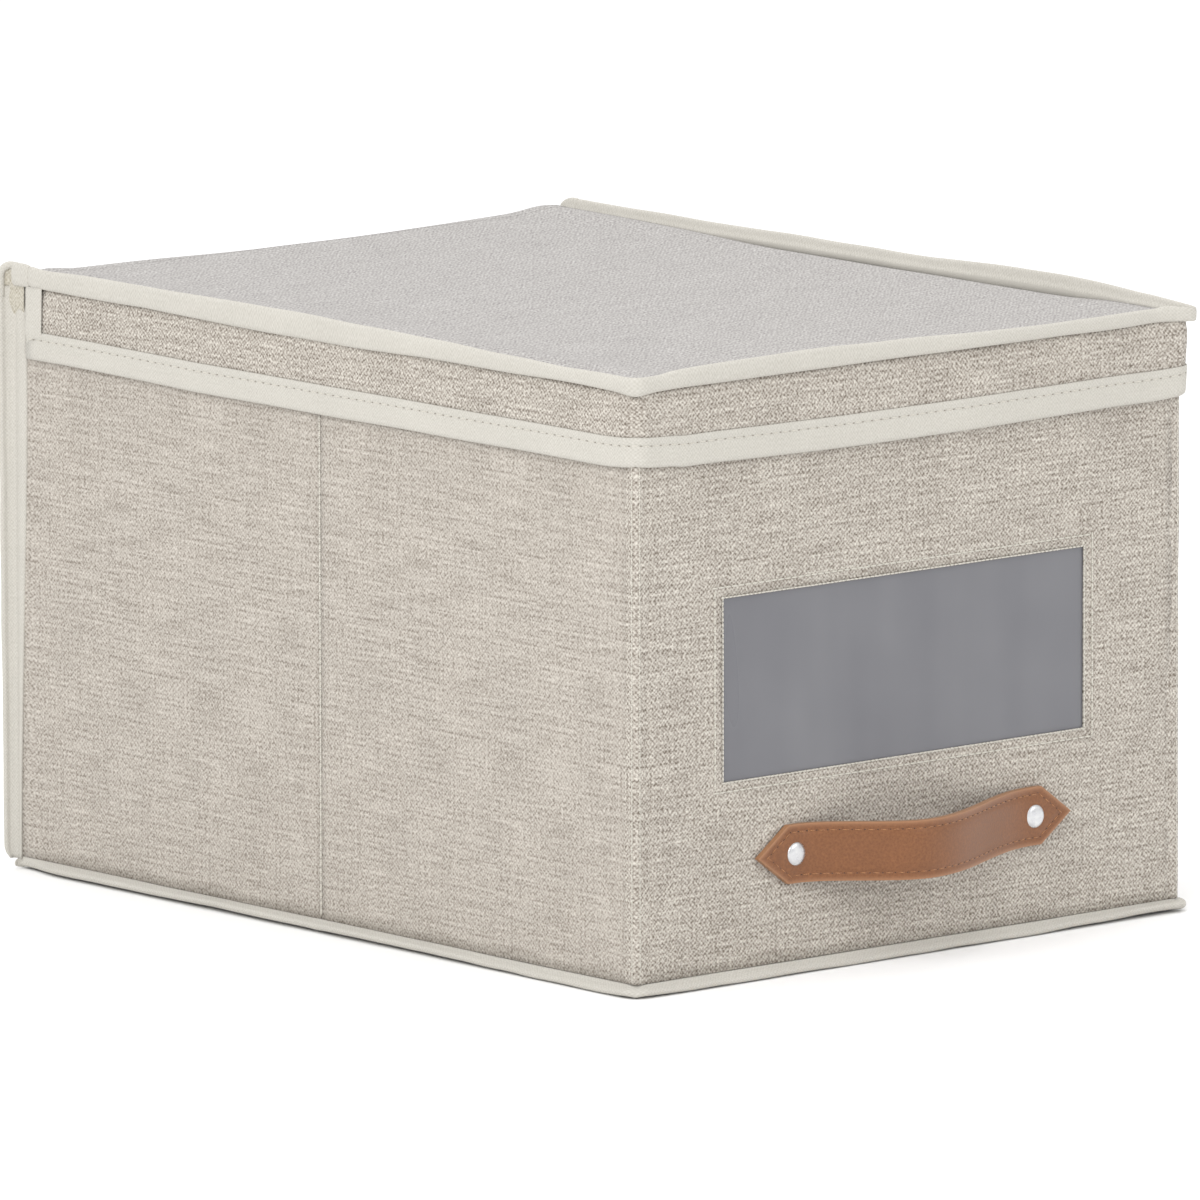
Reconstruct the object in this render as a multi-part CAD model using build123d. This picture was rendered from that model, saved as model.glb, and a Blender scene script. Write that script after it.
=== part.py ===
from build123d import *
import math
import os

# A lidded storage bin of cloth over board. It is in millimetres, +Z is up, the front wall with
# the window and the handle faces -Y, and the origin is the middle of the base, on the surface
# that the bin stands on. The lid is hinged along the top of the back wall. Each side wall has
# a fold line at mid depth, so the empty bin folds flat: the side walls fold inward and the
# front wall moves back.

# Overall sizes, over the cloth
body_width = 300.0
body_depth = 398.0
wall_height = 243.5

# Layers of a wall, of the lid and of the base
cloth_thickness = 0.8
board_thickness = 2.4
lining_thickness = 0.6
base_board_thickness = 4.0

# Clearances
fold_clearance = 0.3        # between faces that pass each other as the bin folds
loose_fit = 0.5             # round the loose base board
hinge_clearance = 0.4       # between the lid's board and the cloth that it is hinged on
skirt_clearance = 1.2       # between a wall and the skirt that hangs round it
stem_clearance = 0.1        # round a rivet's stem

# Window in the front wall
window_width = 198.5
window_height = 76.0
window_bottom = 84.0        # above the surface that the bin stands on
window_offset = -3.5        # the window is sewn in a little to the left of the middle
film_thickness = 0.4
film_margin = 12.0          # how far the film reaches behind the cloth
cutout_margin = 3.0         # how much larger the board's cut-out is than the window

# Handle strap
strap_length = 176.0        # tip to tip as it is fixed, before the tips are rounded
strap_width = 24.5
strap_layer = 1.5           # each of its two layers of leather
strap_point = 18.0          # length of each pointed end
strap_level = 50.5          # middle of the strap above the surface
strap_bow = 24.0            # how far the middle stands off the wall
strap_flat_end = 32.0       # length that lies on the wall at each end
strap_foot_radius = 22.0    # bend where the strap leaves the wall
tip_radius = 2.0

# Rivets
rivet_setback = 22.0        # from the strap's tip before it is rounded
rivet_cap_radius = 5.0
rivet_cap_height = 1.8
rivet_stem_radius = 1.6
washer_thickness = 0.8

# Lid
skirt_height = 31.5
skirt_thickness = 1.0
skirt_rear_setback = 9.0    # from the back wall's outer face
lid_overlap = 0.5           # how far the edge tape reaches in over the walls
edge_tape_overhang = 4.0    # outer face of the lid's edge tape, from the wall
edge_tape_height = 7.0
edge_tape_round = 1.5

# Tapes
tape_thickness = 0.5
hem_tape_width = 12.0
end_tape_width = 9.7
bottom_tape_overhang = 4.5
bottom_tape_round = 1.5
corner_seam_width = 6.7     # how far the bound rear seam stands off the corner
corner_seam_thickness = 3.0
corner_seam_angle = 48.0    # from the sideways direction towards the rear
corner_tape_reach = 8.0     # width of the seam's tape on the back wall

# What follows from them
wall_thickness = cloth_thickness + board_thickness + lining_thickness
half_width = body_width / 2
half_depth = body_depth / 2
base_board_top = cloth_thickness + base_board_thickness
base_top = base_board_top + lining_thickness
wall_bottom = base_top + fold_clearance
wall_top = wall_bottom + wall_height
bottom_tape_top = wall_bottom - fold_clearance / 2
lid_bottom = wall_top + fold_clearance
lid_board_bottom = lid_bottom + lining_thickness
lid_cloth_bottom = lid_board_bottom + board_thickness
lid_top = lid_cloth_bottom + cloth_thickness
skirt_bottom = lid_bottom - skirt_height
skirt_outside = skirt_clearance + skirt_thickness


def block(low, high):
    """A box between its lowest and its highest corner."""
    size = [b - a for a, b in zip(low, high)]
    return Pos(*low) * Box(*size, align=(Align.MIN, Align.MIN, Align.MIN))


def layers():
    """Name, outer face and inner face of each layer of a wall, as depths from its outer face."""
    board_outside = cloth_thickness
    lining_outside = board_outside + board_thickness
    return [
        ("cover", 0.0, board_outside),
        ("board", board_outside, lining_outside),
        ("lining", lining_outside, wall_thickness),
    ]


def back_wall():
    """The back wall owns the rear corners. Its cloth runs on up to the lid as the hinge."""
    parts = {}
    for name, outside, inside in layers():
        top = wall_top
        if name == "cover":
            top = lid_cloth_bottom - fold_clearance
        low = (-half_width, half_depth - inside, wall_bottom)
        high = (half_width, half_depth - outside, top)
        parts["back_" + name] = block(low, high)
    return parts


def side_walls():
    """Two half walls on each side, clear of each other at the fold line and of the corners."""
    near = fold_clearance / 2
    far = half_depth - wall_thickness - fold_clearance
    parts = {}
    for name, outside, inside in layers():
        low = (half_width - inside, near, wall_bottom)
        high = (half_width - outside, far, wall_top)
        right_rear = block(low, high)
        right_front = mirror(right_rear, Plane.XZ)
        parts["right_rear_" + name] = right_rear
        parts["right_front_" + name] = right_front
        parts["left_rear_" + name] = mirror(right_rear, Plane.YZ)
        parts["left_front_" + name] = mirror(right_front, Plane.YZ)
    return parts


def window_block(margin, outside, inside):
    """A block the size of the window and a margin, between two depths in the front wall."""
    half = window_width / 2 + margin
    low = (window_offset - half, -half_depth + outside, window_bottom - margin)
    high = (window_offset + half, -half_depth + inside, window_bottom + window_height + margin)
    return block(low, high)


def rivet_places():
    """Where the two rivets pass through the front wall, as x and z."""
    reach = strap_length / 2 - rivet_setback
    return [(-reach, strap_level), (reach, strap_level)]


def rivet_rods(radius, outside, inside):
    """A round bar at each rivet, between two depths from the front wall's outer face."""
    bars = []
    for x, z in rivet_places():
        plane = Plane(origin=(x, -half_depth + outside, z), x_dir=(1, 0, 0), z_dir=(0, 1, 0))
        bars.append(extrude(plane * Circle(radius), inside - outside))
    return bars


def front_wall():
    """The front wall, with the window through it and the film let into its board."""
    film_inside = cloth_thickness + film_thickness
    holes = rivet_rods(rivet_stem_radius + stem_clearance, 0, wall_thickness)
    parts = {}
    for name, outside, inside in layers():
        low = (-half_width, -half_depth + outside, wall_bottom)
        high = (half_width, -half_depth + inside, wall_top)
        margin = 0 if name == "cover" else cutout_margin
        wall = block(low, high) - window_block(margin, outside, inside)
        if name == "board":
            wall = wall - window_block(film_margin, cloth_thickness, film_inside)
        parts["front_" + name] = wall - holes
    parts["window_film"] = window_block(film_margin, cloth_thickness, film_inside)
    return parts


def strap_plan(nearest, farthest):
    """Plan of a strap layer between two distances from the wall, as it lies at its ends."""
    lift_off = strap_length / 2 - strap_flat_end
    turn = 2 * math.atan(strap_bow / lift_off)
    crown_radius = lift_off / math.sin(turn) - strap_foot_radius
    turn_degrees = math.degrees(turn)
    foot_centre = (-lift_off, -strap_foot_radius)
    crown_centre = (0, crown_radius - strap_bow)
    edges = []
    ends = []
    for distance in (nearest, farthest):
        foot_radius = strap_foot_radius - distance
        crown = crown_radius + distance
        flat = Line((-strap_length / 2, -distance), (-lift_off, -distance))
        foot = CenterArc(foot_centre, foot_radius, 90, -turn_degrees)
        bow = CenterArc(crown_centre, crown, 270 - turn_degrees, turn_degrees)
        edges += [flat, foot, bow]
        ends.append(((-strap_length / 2, -distance), (0, -strap_bow - distance)))
    for near_point, far_point in zip(ends[0], ends[1]):
        edges.append(Line(near_point, far_point))
    half = make_face(edges)
    return half + mirror(half, Plane.YZ)


def strap_outline():
    """A prism through the strap's front view, with its two pointed ends."""
    tip = strap_length / 2
    shoulder = tip - strap_point
    side = strap_width / 2
    upper = [(-tip, 0), (-shoulder, side), (shoulder, side)]
    lower = [(tip, 0), (shoulder, -side), (-shoulder, -side)]
    outline = make_face(Polyline(*upper, *lower, close=True))
    tips = outline.vertices().sort_by(Axis.X)
    outline = fillet([tips[0], tips[-1]], tip_radius)
    reach = 2 * (strap_bow + strap_layer)
    plane = Plane(origin=(0, -half_depth, strap_level), x_dir=(1, 0, 0), z_dir=(0, -1, 0))
    return extrude(plane * outline, reach, both=True)


def handle():
    """The two layers of the strap and the rivets that fix its ends through the wall."""
    strap_thickness = 2 * strap_layer
    outline = strap_outline()
    holes = rivet_rods(rivet_stem_radius + stem_clearance, -strap_thickness, 0)
    parts = {}
    for name, nearest in (("handle_backing", 0.0), ("handle_strap", strap_layer)):
        plan = Pos(0, -half_depth) * strap_plan(nearest, nearest + strap_layer)
        layer = Pos(0, 0, strap_level - strap_width / 2) * extrude(plan, strap_width)
        parts[name] = (layer & outline) - holes

    washer_inside = wall_thickness + washer_thickness
    caps = []
    cap_base = -strap_thickness - rivet_cap_height
    for cap in rivet_rods(rivet_cap_radius, cap_base, -strap_thickness):
        rim = cap.faces().sort_by(Axis.Y)[0].edges()
        caps.append(fillet(rim, rivet_cap_height * 0.8))
    stems = rivet_rods(rivet_stem_radius, -strap_thickness, washer_inside)
    parts["rivets"] = Compound([cap + stem for cap, stem in zip(caps, stems)])

    washers = rivet_rods(rivet_cap_radius, wall_thickness, washer_inside)
    holes = rivet_rods(rivet_stem_radius + stem_clearance, wall_thickness, washer_inside)
    parts["rivet_washers"] = Compound([washer - hole for washer, hole in zip(washers, holes)])
    return parts


def base():
    """The base cloth, and the loose board with its cloth face that lies on it."""
    inner_width = half_width - wall_thickness
    inner_depth = half_depth - wall_thickness
    board_width = inner_width - loose_fit
    board_depth = inner_depth - loose_fit
    sheets = [
        ("base_cover", inner_width, inner_depth, 0, cloth_thickness),
        ("base_board", board_width, board_depth, cloth_thickness, base_board_top),
        ("base_board_cloth", board_width, board_depth, base_board_top, base_top),
    ]
    return {name: block((-x, -y, low), (x, y, high)) for name, x, y, low, high in sheets}


def bottom_tapes():
    """Tape round the bottom edge. It reaches in under the walls and stands out beyond them."""
    inner_x = half_width - wall_thickness
    outer_x = half_width + bottom_tape_overhang
    inner_y = half_depth - wall_thickness
    outer_y = half_depth + bottom_tape_overhang
    rear = block((-outer_x, inner_y, 0), (outer_x, outer_y, bottom_tape_top))
    right = block((inner_x, -inner_y, 0), (outer_x, inner_y, bottom_tape_top))
    rear = fillet(rear.edges().filter_by(Axis.X).group_by(Axis.Y)[-1], bottom_tape_round)
    right = fillet(right.edges().filter_by(Axis.Y).group_by(Axis.X)[-1], bottom_tape_round)
    return {
        "bottom_tape_back": rear,
        "bottom_tape_front": mirror(rear, Plane.XZ),
        "bottom_tape_right": right,
        "bottom_tape_left": mirror(right, Plane.YZ),
    }


def rear_corner_seams():
    """The seam allowance of each rear corner, bound with tape and standing off the corner."""
    top = wall_top
    side_strip = block(
        (half_width, half_depth - wall_thickness, wall_bottom),
        (half_width + tape_thickness, half_depth + tape_thickness, top),
    )
    back_strip = block(
        (half_width - corner_tape_reach, half_depth, wall_bottom),
        (half_width, half_depth + tape_thickness, top),
    )
    fin = Rectangle(corner_seam_width, corner_seam_thickness, align=(Align.MIN, Align.CENTER))
    fin = fillet(fin.vertices().group_by(Axis.X)[-1], corner_seam_thickness * 0.4)
    fin = Pos(half_width, half_depth, wall_bottom) * Rot(0, 0, corner_seam_angle) * fin
    fin = extrude(fin, top - wall_bottom)
    wall_corner = block((0, 0, wall_bottom), (half_width, half_depth, top))
    right = side_strip + back_strip + (fin - wall_corner)
    return {"rear_corner_tape_right": right, "rear_corner_tape_left": mirror(right, Plane.YZ)}


def lid_plates():
    """The lid's lining, board and top cloth. The cloth runs back to the hinge line."""
    x = half_width - lid_overlap
    front = -half_depth + lid_overlap
    board_rear = half_depth - cloth_thickness - hinge_clearance
    return {
        "lid_lining": block((-x, front, lid_bottom), (x, board_rear, lid_board_bottom)),
        "lid_board": block((-x, front, lid_board_bottom), (x, board_rear, lid_cloth_bottom)),
        "lid_cover": block((-x, front, lid_cloth_bottom), (x, half_depth, lid_top)),
    }


def skirts():
    """The three runs of cloth that hang round the walls from the lid's edge."""
    z_low = skirt_bottom + tape_thickness
    inner_x = half_width + skirt_clearance
    outer_x = half_width + skirt_outside
    front_inner = -half_depth - skirt_clearance
    front_outer = -half_depth - skirt_outside
    rear = half_depth - skirt_rear_setback - tape_thickness
    right = block((inner_x, front_inner, z_low), (outer_x, rear, lid_bottom))
    front = block((-outer_x, front_outer, z_low), (outer_x, front_inner, lid_bottom))
    return {"skirt_front": front, "skirt_right": right, "skirt_left": mirror(right, Plane.YZ)}


def hem_tapes(skirt_parts):
    """Tape folded over the skirt's lower edge, and over its two rear ends."""
    top = skirt_bottom + hem_tape_width
    inner = skirt_clearance - tape_thickness
    outer = skirt_outside + tape_thickness
    rear = half_depth - skirt_rear_setback
    front_inner = -half_depth - inner
    front_outer = -half_depth - outer
    x_inner = half_width + inner
    x_outer = half_width + outer
    end_front = rear - end_tape_width
    right = block((x_inner, front_inner, skirt_bottom), (x_outer, end_front, top))
    right_end = block((x_inner, end_front, skirt_bottom), (x_outer, rear, lid_bottom))
    front = block((-x_outer, front_outer, skirt_bottom), (x_outer, front_inner, top))
    right = right - skirt_parts["skirt_right"]
    right_end = right_end - skirt_parts["skirt_right"]
    for skirt in skirt_parts.values():
        front = front - skirt
    return {
        "hem_tape_front": front,
        "hem_tape_right": right,
        "hem_tape_left": mirror(right, Plane.YZ),
        "end_tape_right": right_end,
        "end_tape_left": mirror(right_end, Plane.YZ),
    }


def lid_edge_tapes():
    """The thick tape that binds the lid's board to the skirt, along the front and the sides."""
    top = lid_bottom + edge_tape_height
    inner_x = half_width - lid_overlap
    outer_x = half_width + edge_tape_overhang
    front_inner = -half_depth + lid_overlap
    front_outer = -half_depth - edge_tape_overhang
    rear = half_depth - skirt_rear_setback
    right = block((inner_x, front_inner, lid_bottom), (outer_x, rear, top))
    right = fillet(right.edges().filter_by(Axis.Y).group_by(Axis.Z)[-1], edge_tape_round)
    front = block((-outer_x, front_outer, lid_bottom), (outer_x, front_inner, top))
    front = fillet(front.edges().filter_by(Axis.X).group_by(Axis.Z)[-1], edge_tape_round)
    return {"edge_tape_front": front, "edge_tape_right": right, "edge_tape_left": mirror(right, Plane.YZ)}


def lid():
    """Everything that lifts with the lid."""
    skirt_parts = skirts()
    return {**lid_plates(), **skirt_parts, **hem_tapes(skirt_parts), **lid_edge_tapes()}


def main():
    parts = {}
    for group in (back_wall, rear_corner_seams, base, bottom_tapes, side_walls, front_wall, handle, lid):
        parts.update(group())
    os.makedirs("parts", exist_ok=True)
    for name, shape in parts.items():
        export_step(shape, "parts/" + name + ".step")
    print(len(parts), "nodes written")


main()
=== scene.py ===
# %% [markdown]
# # A fabric storage bin, looks only
#
# The boards, hinges and sizes of the bin come from its imported CAD model, which is loaded here as a fixed
# frame. Every soft piece, the cloth, the tapes, the seams, the strap, is made in this file around that
# frame, in metres. Most ride on the part of the bin that carries them; those at the hinge, the rear
# corners and the folds of the walls stay where they are made.

# %% Load the frame
import math

import bmesh
import bpy
from mathutils import Matrix, Vector, noise


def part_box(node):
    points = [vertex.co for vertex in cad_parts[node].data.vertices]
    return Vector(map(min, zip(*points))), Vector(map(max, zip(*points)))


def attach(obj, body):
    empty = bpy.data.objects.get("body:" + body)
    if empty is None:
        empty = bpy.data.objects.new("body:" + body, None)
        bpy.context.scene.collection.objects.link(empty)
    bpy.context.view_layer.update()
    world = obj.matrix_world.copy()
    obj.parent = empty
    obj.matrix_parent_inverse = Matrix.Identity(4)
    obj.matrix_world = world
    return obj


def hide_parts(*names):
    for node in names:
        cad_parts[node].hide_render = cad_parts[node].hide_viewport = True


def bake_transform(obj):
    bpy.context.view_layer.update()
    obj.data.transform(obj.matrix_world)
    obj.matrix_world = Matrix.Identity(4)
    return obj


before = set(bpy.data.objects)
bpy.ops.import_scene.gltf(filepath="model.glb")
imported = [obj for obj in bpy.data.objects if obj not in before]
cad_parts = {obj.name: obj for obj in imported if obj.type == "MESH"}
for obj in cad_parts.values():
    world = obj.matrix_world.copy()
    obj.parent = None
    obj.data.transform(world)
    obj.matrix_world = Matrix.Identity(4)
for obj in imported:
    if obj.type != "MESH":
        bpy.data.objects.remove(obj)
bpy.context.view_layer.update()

# %% [markdown]
# ## The camera
#
# The bin is seen corner-on, from a little above, from far away with a long lens, so that its upright
# edges stay upright. The camera comes first, because everything else is judged through it.

# %% Camera
CAMERA_PLACE = Vector((-5.1212, -5.9072, 1.4308))
CAMERA_TURN = math.radians(40.943)
CAMERA_DIP = math.radians(9.495)
CAMERA_TILT = -0.0015
CAMERA_LENS = 567.31

camera_data = bpy.data.cameras.new("camera")
camera_data.lens = CAMERA_LENS
camera_data.sensor_width = 36.0
camera_data.clip_end = 100.0
camera = bpy.data.objects.new("camera", camera_data)
bpy.context.scene.collection.objects.link(camera)
looking = Vector((
    math.sin(CAMERA_TURN) * math.cos(CAMERA_DIP),
    math.cos(CAMERA_TURN) * math.cos(CAMERA_DIP),
    -math.sin(CAMERA_DIP),
))
facing = looking.to_track_quat("-Z", "Y").to_matrix().to_4x4()
camera.matrix_world = Matrix.Translation(CAMERA_PLACE) @ facing @ Matrix.Rotation(CAMERA_TILT, 4, "Z")
bpy.context.scene.camera = camera
print("camera looks along", [round(v, 3) for v in looking])

# %% [markdown]
# ## Small helpers for materials
#
# A material is a little network of nodes. These helpers add a node, give its settings and inputs, and
# link what comes from another node, so that each recipe below reads from top to bottom.

# %% Node helpers
def add_node(tree, kind, inputs=None, **settings):
    """One node with its settings; an input is either a value or the output that feeds it."""
    made = tree.nodes.new(kind)
    for name, value in settings.items():
        setattr(made, name, value)
    for name, value in (inputs or {}).items():
        if isinstance(value, bpy.types.NodeSocket):
            tree.links.new(value, made.inputs[name])
        else:
            made.inputs[name].default_value = value
    return made


def calc(tree, operation, first, second=0.0, third=0.0, clamp=False):
    """The output of one Math node."""
    inputs = {0: first, 1: second, 2: third}
    made = add_node(tree, "ShaderNodeMath", inputs, operation=operation, use_clamp=clamp)
    return made.outputs[0]


def calc_vector(tree, operation, first, second):
    """The output of one Vector Math node; to scale, second is a single number."""
    inputs = {0: first, "Scale" if operation == "SCALE" else 1: second}
    return add_node(tree, "ShaderNodeVectorMath", inputs, operation=operation).outputs[0]


def grainy(tree, vector, scale, detail=2.0, roughness=0.5):
    """A noise texture's value, about 0.5 on average."""
    inputs = {"Vector": vector, "Scale": scale, "Detail": detail, "Roughness": roughness}
    return add_node(tree, "ShaderNodeTexNoise", inputs).outputs["Fac"]


def colour_steps(tree, value, steps):
    """A colour ramp through (place, colour) steps."""
    made = add_node(tree, "ShaderNodeValToRGB", {"Fac": value})
    ramp = made.color_ramp
    for k, (place, colour) in enumerate(steps):
        stop = ramp.elements[k] if k < 2 else ramp.elements.new(place)
        stop.position = place
        stop.color = (*colour, 1.0)
    return made.outputs["Color"]


def cloth_map(tree):
    """The UV map that holds distances along and across a piece, in metres."""
    return add_node(tree, "ShaderNodeUVMap", uv_map="cloth").outputs["UV"]


def mesh_place(tree):
    """Where a point lies in its mesh, in metres."""
    return add_node(tree, "ShaderNodeTexCoord").outputs["Object"]


LIGHT_LEVEL = 1.32


def shade(red, green, blue):
    """A colour as it looks on the lit bin, 0 to 255, turned into the linear value that its shader reads.

    The studio is bright enough to turn the floor white, so a finish is that much darker than it looks."""
    def linear(level):
        part = level / 255.0
        full = part / 12.92 if part <= 0.04045 else ((part + 0.055) / 1.055) ** 2.4
        return full / LIGHT_LEVEL
    return (linear(red), linear(green), linear(blue))


def start_group(name, entries, results):
    """An empty node group with named inputs and outputs."""
    tree = bpy.data.node_groups.new(name, "ShaderNodeTree")
    for label, kind, value in entries:
        made = tree.interface.new_socket(label, in_out="INPUT", socket_type=kind)
        if value is not None:
            made.default_value = value
    for label, kind in results:
        tree.interface.new_socket(label, in_out="OUTPUT", socket_type=kind)
    return tree, tree.nodes.new("NodeGroupInput").outputs, tree.nodes.new("NodeGroupOutput").inputs


def start_material(name, roughness, **values):
    """A material with its Principled shader, whose constant values sit on the shader's own sockets."""
    material = bpy.data.materials.new(name)
    material.use_nodes = True
    tree = material.node_tree
    shader = tree.nodes["Principled BSDF"]
    shader.inputs["Roughness"].default_value = roughness
    for label, value in values.items():
        shader.inputs[label.replace("_", " ")].default_value = value
    return material, tree, shader


def place_group(tree, group, inputs):
    """A group placed in a material with its own values."""
    return add_node(tree, "ShaderNodeGroup", inputs, node_tree=group).outputs


def emboss(tree, shader, height, depth, strength):
    """A Bump node from a height to the shader's normal; depth is in metres."""
    bump = add_node(tree, "ShaderNodeBump", {"Height": height, "Distance": depth, "Strength": strength})
    tree.links.new(bump.outputs["Normal"], shader.inputs["Normal"])

# %% [markdown]
# ## Shared effects
#
# Three effects turn up in more than one finish: crossing threads, slow stains of light and dark, and
# leather or board grain. Each is a node group built once. The threads are two sine waves multiplied,
# which gives the over-and-under chequer of a plain weave, then thrown off by noise and by long slubs,
# the thick places in linen yarn.

# %% Group: crossing threads
THREAD_DRIFT = 2.6  # threads
SLUB_ACROSS = (0.035, 0.75, 1.0)
SLUB_ALONG = (0.75, 0.045, 1.0)


def make_thread_group():
    """Crossing threads, from a map in metres."""
    entries = [
        ("Vector", "NodeSocketVector", None),
        ("Pitch", "NodeSocketFloat", 0.0009),
        ("Chequer", "NodeSocketFloat", 0.3),
        ("Fuzz", "NodeSocketFloat", 1.0),
        ("Slubs", "NodeSocketFloat", 0.8),
    ]
    results = [("Tone", "NodeSocketFloat"), ("Height", "NodeSocketFloat")]
    tree, source, target = start_group("crossing_threads", entries, results)
    count = calc(tree, "DIVIDE", 1.0, source["Pitch"])
    threads = calc_vector(tree, "SCALE", source["Vector"], count)
    drift = add_node(tree, "ShaderNodeTexNoise", {"Vector": threads, "Scale": 0.16, "Detail": 1.0})
    centred = calc_vector(tree, "SUBTRACT", drift.outputs["Color"], (0.5, 0.5, 0.5))
    moved = calc_vector(tree, "ADD", threads, calc_vector(tree, "SCALE", centred, THREAD_DRIFT))
    parts = add_node(tree, "ShaderNodeSeparateXYZ", {0: moved})
    waves = []
    for axis in ("X", "Y"):
        waves.append(calc(tree, "SINE", calc(tree, "MULTIPLY", parts.outputs[axis], math.pi)))
    chequer = calc(tree, "MULTIPLY", waves[0], waves[1])
    fuzz = calc(tree, "SUBTRACT", grainy(tree, threads, 0.75, 2.0, 0.6), 0.5)
    streaks = []
    for squeeze in (SLUB_ACROSS, SLUB_ALONG):
        noisy = grainy(tree, calc_vector(tree, "MULTIPLY", threads, squeeze), 1.0, 2.0)
        streaks.append(calc(tree, "SUBTRACT", noisy, 0.5))
    slubs = calc(tree, "MULTIPLY_ADD", streaks[1], 0.55, streaks[0])
    tone = calc(tree, "MULTIPLY_ADD", chequer, source["Chequer"], 0.5)
    tone = calc(tree, "MULTIPLY_ADD", fuzz, source["Fuzz"], tone)
    tone = calc(tree, "MULTIPLY_ADD", slubs, source["Slubs"], tone)
    height = calc(tree, "MULTIPLY_ADD", chequer, 0.4, tone)
    tree.links.new(calc(tree, "ADD", tone, 0.0, clamp=True), target["Tone"])
    tree.links.new(height, target["Height"])
    return tree


threads_group = make_thread_group()
print("threads group:", len(threads_group.nodes), "nodes")

# %% [markdown]
# Cloth and board are never one even colour, so a slow cloud makes any colour a little lighter and darker
# from place to place. Hide has fine cells with soft edges, which smooth Voronoi cells give, and a little
# finer noise breaks up their regular look.

# %% Groups: slow stains, and hide grain
def make_stain_group():
    """A colour made slowly lighter and darker from place to place."""
    entries = [
        ("Vector", "NodeSocketVector", None),
        ("Size", "NodeSocketFloat", 0.05),
        ("Amount", "NodeSocketFloat", 0.1),
        ("Colour", "NodeSocketColor", None),
    ]
    tree, source, target = start_group("slow_stains", entries, [("Colour", "NodeSocketColor")])
    count = calc(tree, "DIVIDE", 1.0, source["Size"])
    cloud = calc(tree, "SUBTRACT", grainy(tree, source["Vector"], count, 3.0, 0.55), 0.5)
    value = calc(tree, "MULTIPLY_ADD", cloud, source["Amount"], 1.0)
    made = add_node(tree, "ShaderNodeHueSaturation", {"Color": source["Colour"], "Value": value})
    tree.links.new(made.outputs["Color"], target["Colour"])
    return tree


def make_grain_group():
    """The fine cells of a hide."""
    entries = [("Vector", "NodeSocketVector", None), ("Size", "NodeSocketFloat", 0.0012)]
    results = [("Grain", "NodeSocketFloat"), ("Height", "NodeSocketFloat")]
    tree, source, target = start_group("hide_grain", entries, results)
    count = calc(tree, "DIVIDE", 1.0, source["Size"])
    inputs = {"Vector": source["Vector"], "Scale": count, "Randomness": 1.0}
    cells = add_node(tree, "ShaderNodeTexVoronoi", inputs, feature="SMOOTH_F1")
    fine = grainy(tree, source["Vector"], calc(tree, "MULTIPLY", count, 2.5), 3.0, 0.6)
    grain = calc(tree, "MULTIPLY_ADD", cells.outputs["Distance"], 0.5, calc(tree, "MULTIPLY", fine, 0.5))
    tree.links.new(grain, target["Grain"])
    tree.links.new(calc(tree, "MULTIPLY_ADD", fine, 0.4, cells.outputs["Distance"]), target["Height"])
    return tree


stain_group = make_stain_group()
grain_group = make_grain_group()
print("stain and grain groups are ready")

# %% [markdown]
# ## The finishes
#
# The cloths read a UV map that holds real distances in metres, so that the threads keep their size
# whichever way a piece is turned. Walls, lid and tapes share the thread group and differ in pitch,
# contrast and colour: the walls are a warm grey linen, a little plainer on the side walls, and the tapes
# are a fine cream binding. The lid's top, which looks paler and cooler, is the same linen with the light
# on the top painted in: its ramp is cooler, for the white light that the top catches, and a little
# darker, to offset the extra light that the lamps throw on it. The last ramp is for the linen that is
# bunched up at the ends of the hinge, where its creases catch the light.

# %% Cloth finishes
def make_cloth(name, pitch, steps, chequer, fuzz, slubs, stain, depth, sheen):
    """A woven finish; steps is its colour ramp from the dark gaps to the light threads."""
    material, tree, shader = start_material(name, 0.92, Sheen_Weight=sheen, Specular_IOR_Level=0.15)
    shader.inputs["Sheen Roughness"].default_value = 0.6
    spread = cloth_map(tree)
    woven = place_group(tree, threads_group, {
        "Vector": spread, "Pitch": pitch, "Chequer": chequer, "Fuzz": fuzz, "Slubs": slubs,
    })
    colour = colour_steps(tree, woven["Tone"], steps)
    stained = place_group(tree, stain_group, {
        "Vector": spread, "Size": 0.03, "Amount": stain, "Colour": colour,
    })
    tree.links.new(stained["Colour"], shader.inputs["Base Color"])
    emboss(tree, shader, woven["Height"], depth, 0.55)
    return material


wall_steps = [(0.0, shade(128, 118, 106)), (1.0, shade(236, 230, 219)), (0.5, shade(191, 183, 173))]
side_steps = [(0.0, shade(146, 137, 126)), (1.0, shade(223, 216, 206)), (0.5, shade(193, 185, 175))]
# The lid's ramp is the wall linen with painted light: cooler for the light on the top, a little darker.
lid_toplit_steps = [(0.0, shade(132, 128, 128)), (1.0, shade(224, 222, 219)), (0.5, shade(183, 179, 176))]
tape_steps = [(0.0, shade(190, 186, 175)), (1.0, shade(228, 225, 216)), (0.5, shade(211, 207, 198))]
lining_steps = [(0.0, shade(150, 147, 142)), (1.0, shade(222, 219, 213)), (0.5, shade(190, 187, 181))]
gather_steps = [(0.0, shade(178, 170, 152)), (1.0, shade(228, 223, 210)), (0.5, shade(207, 201, 186))]

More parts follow.
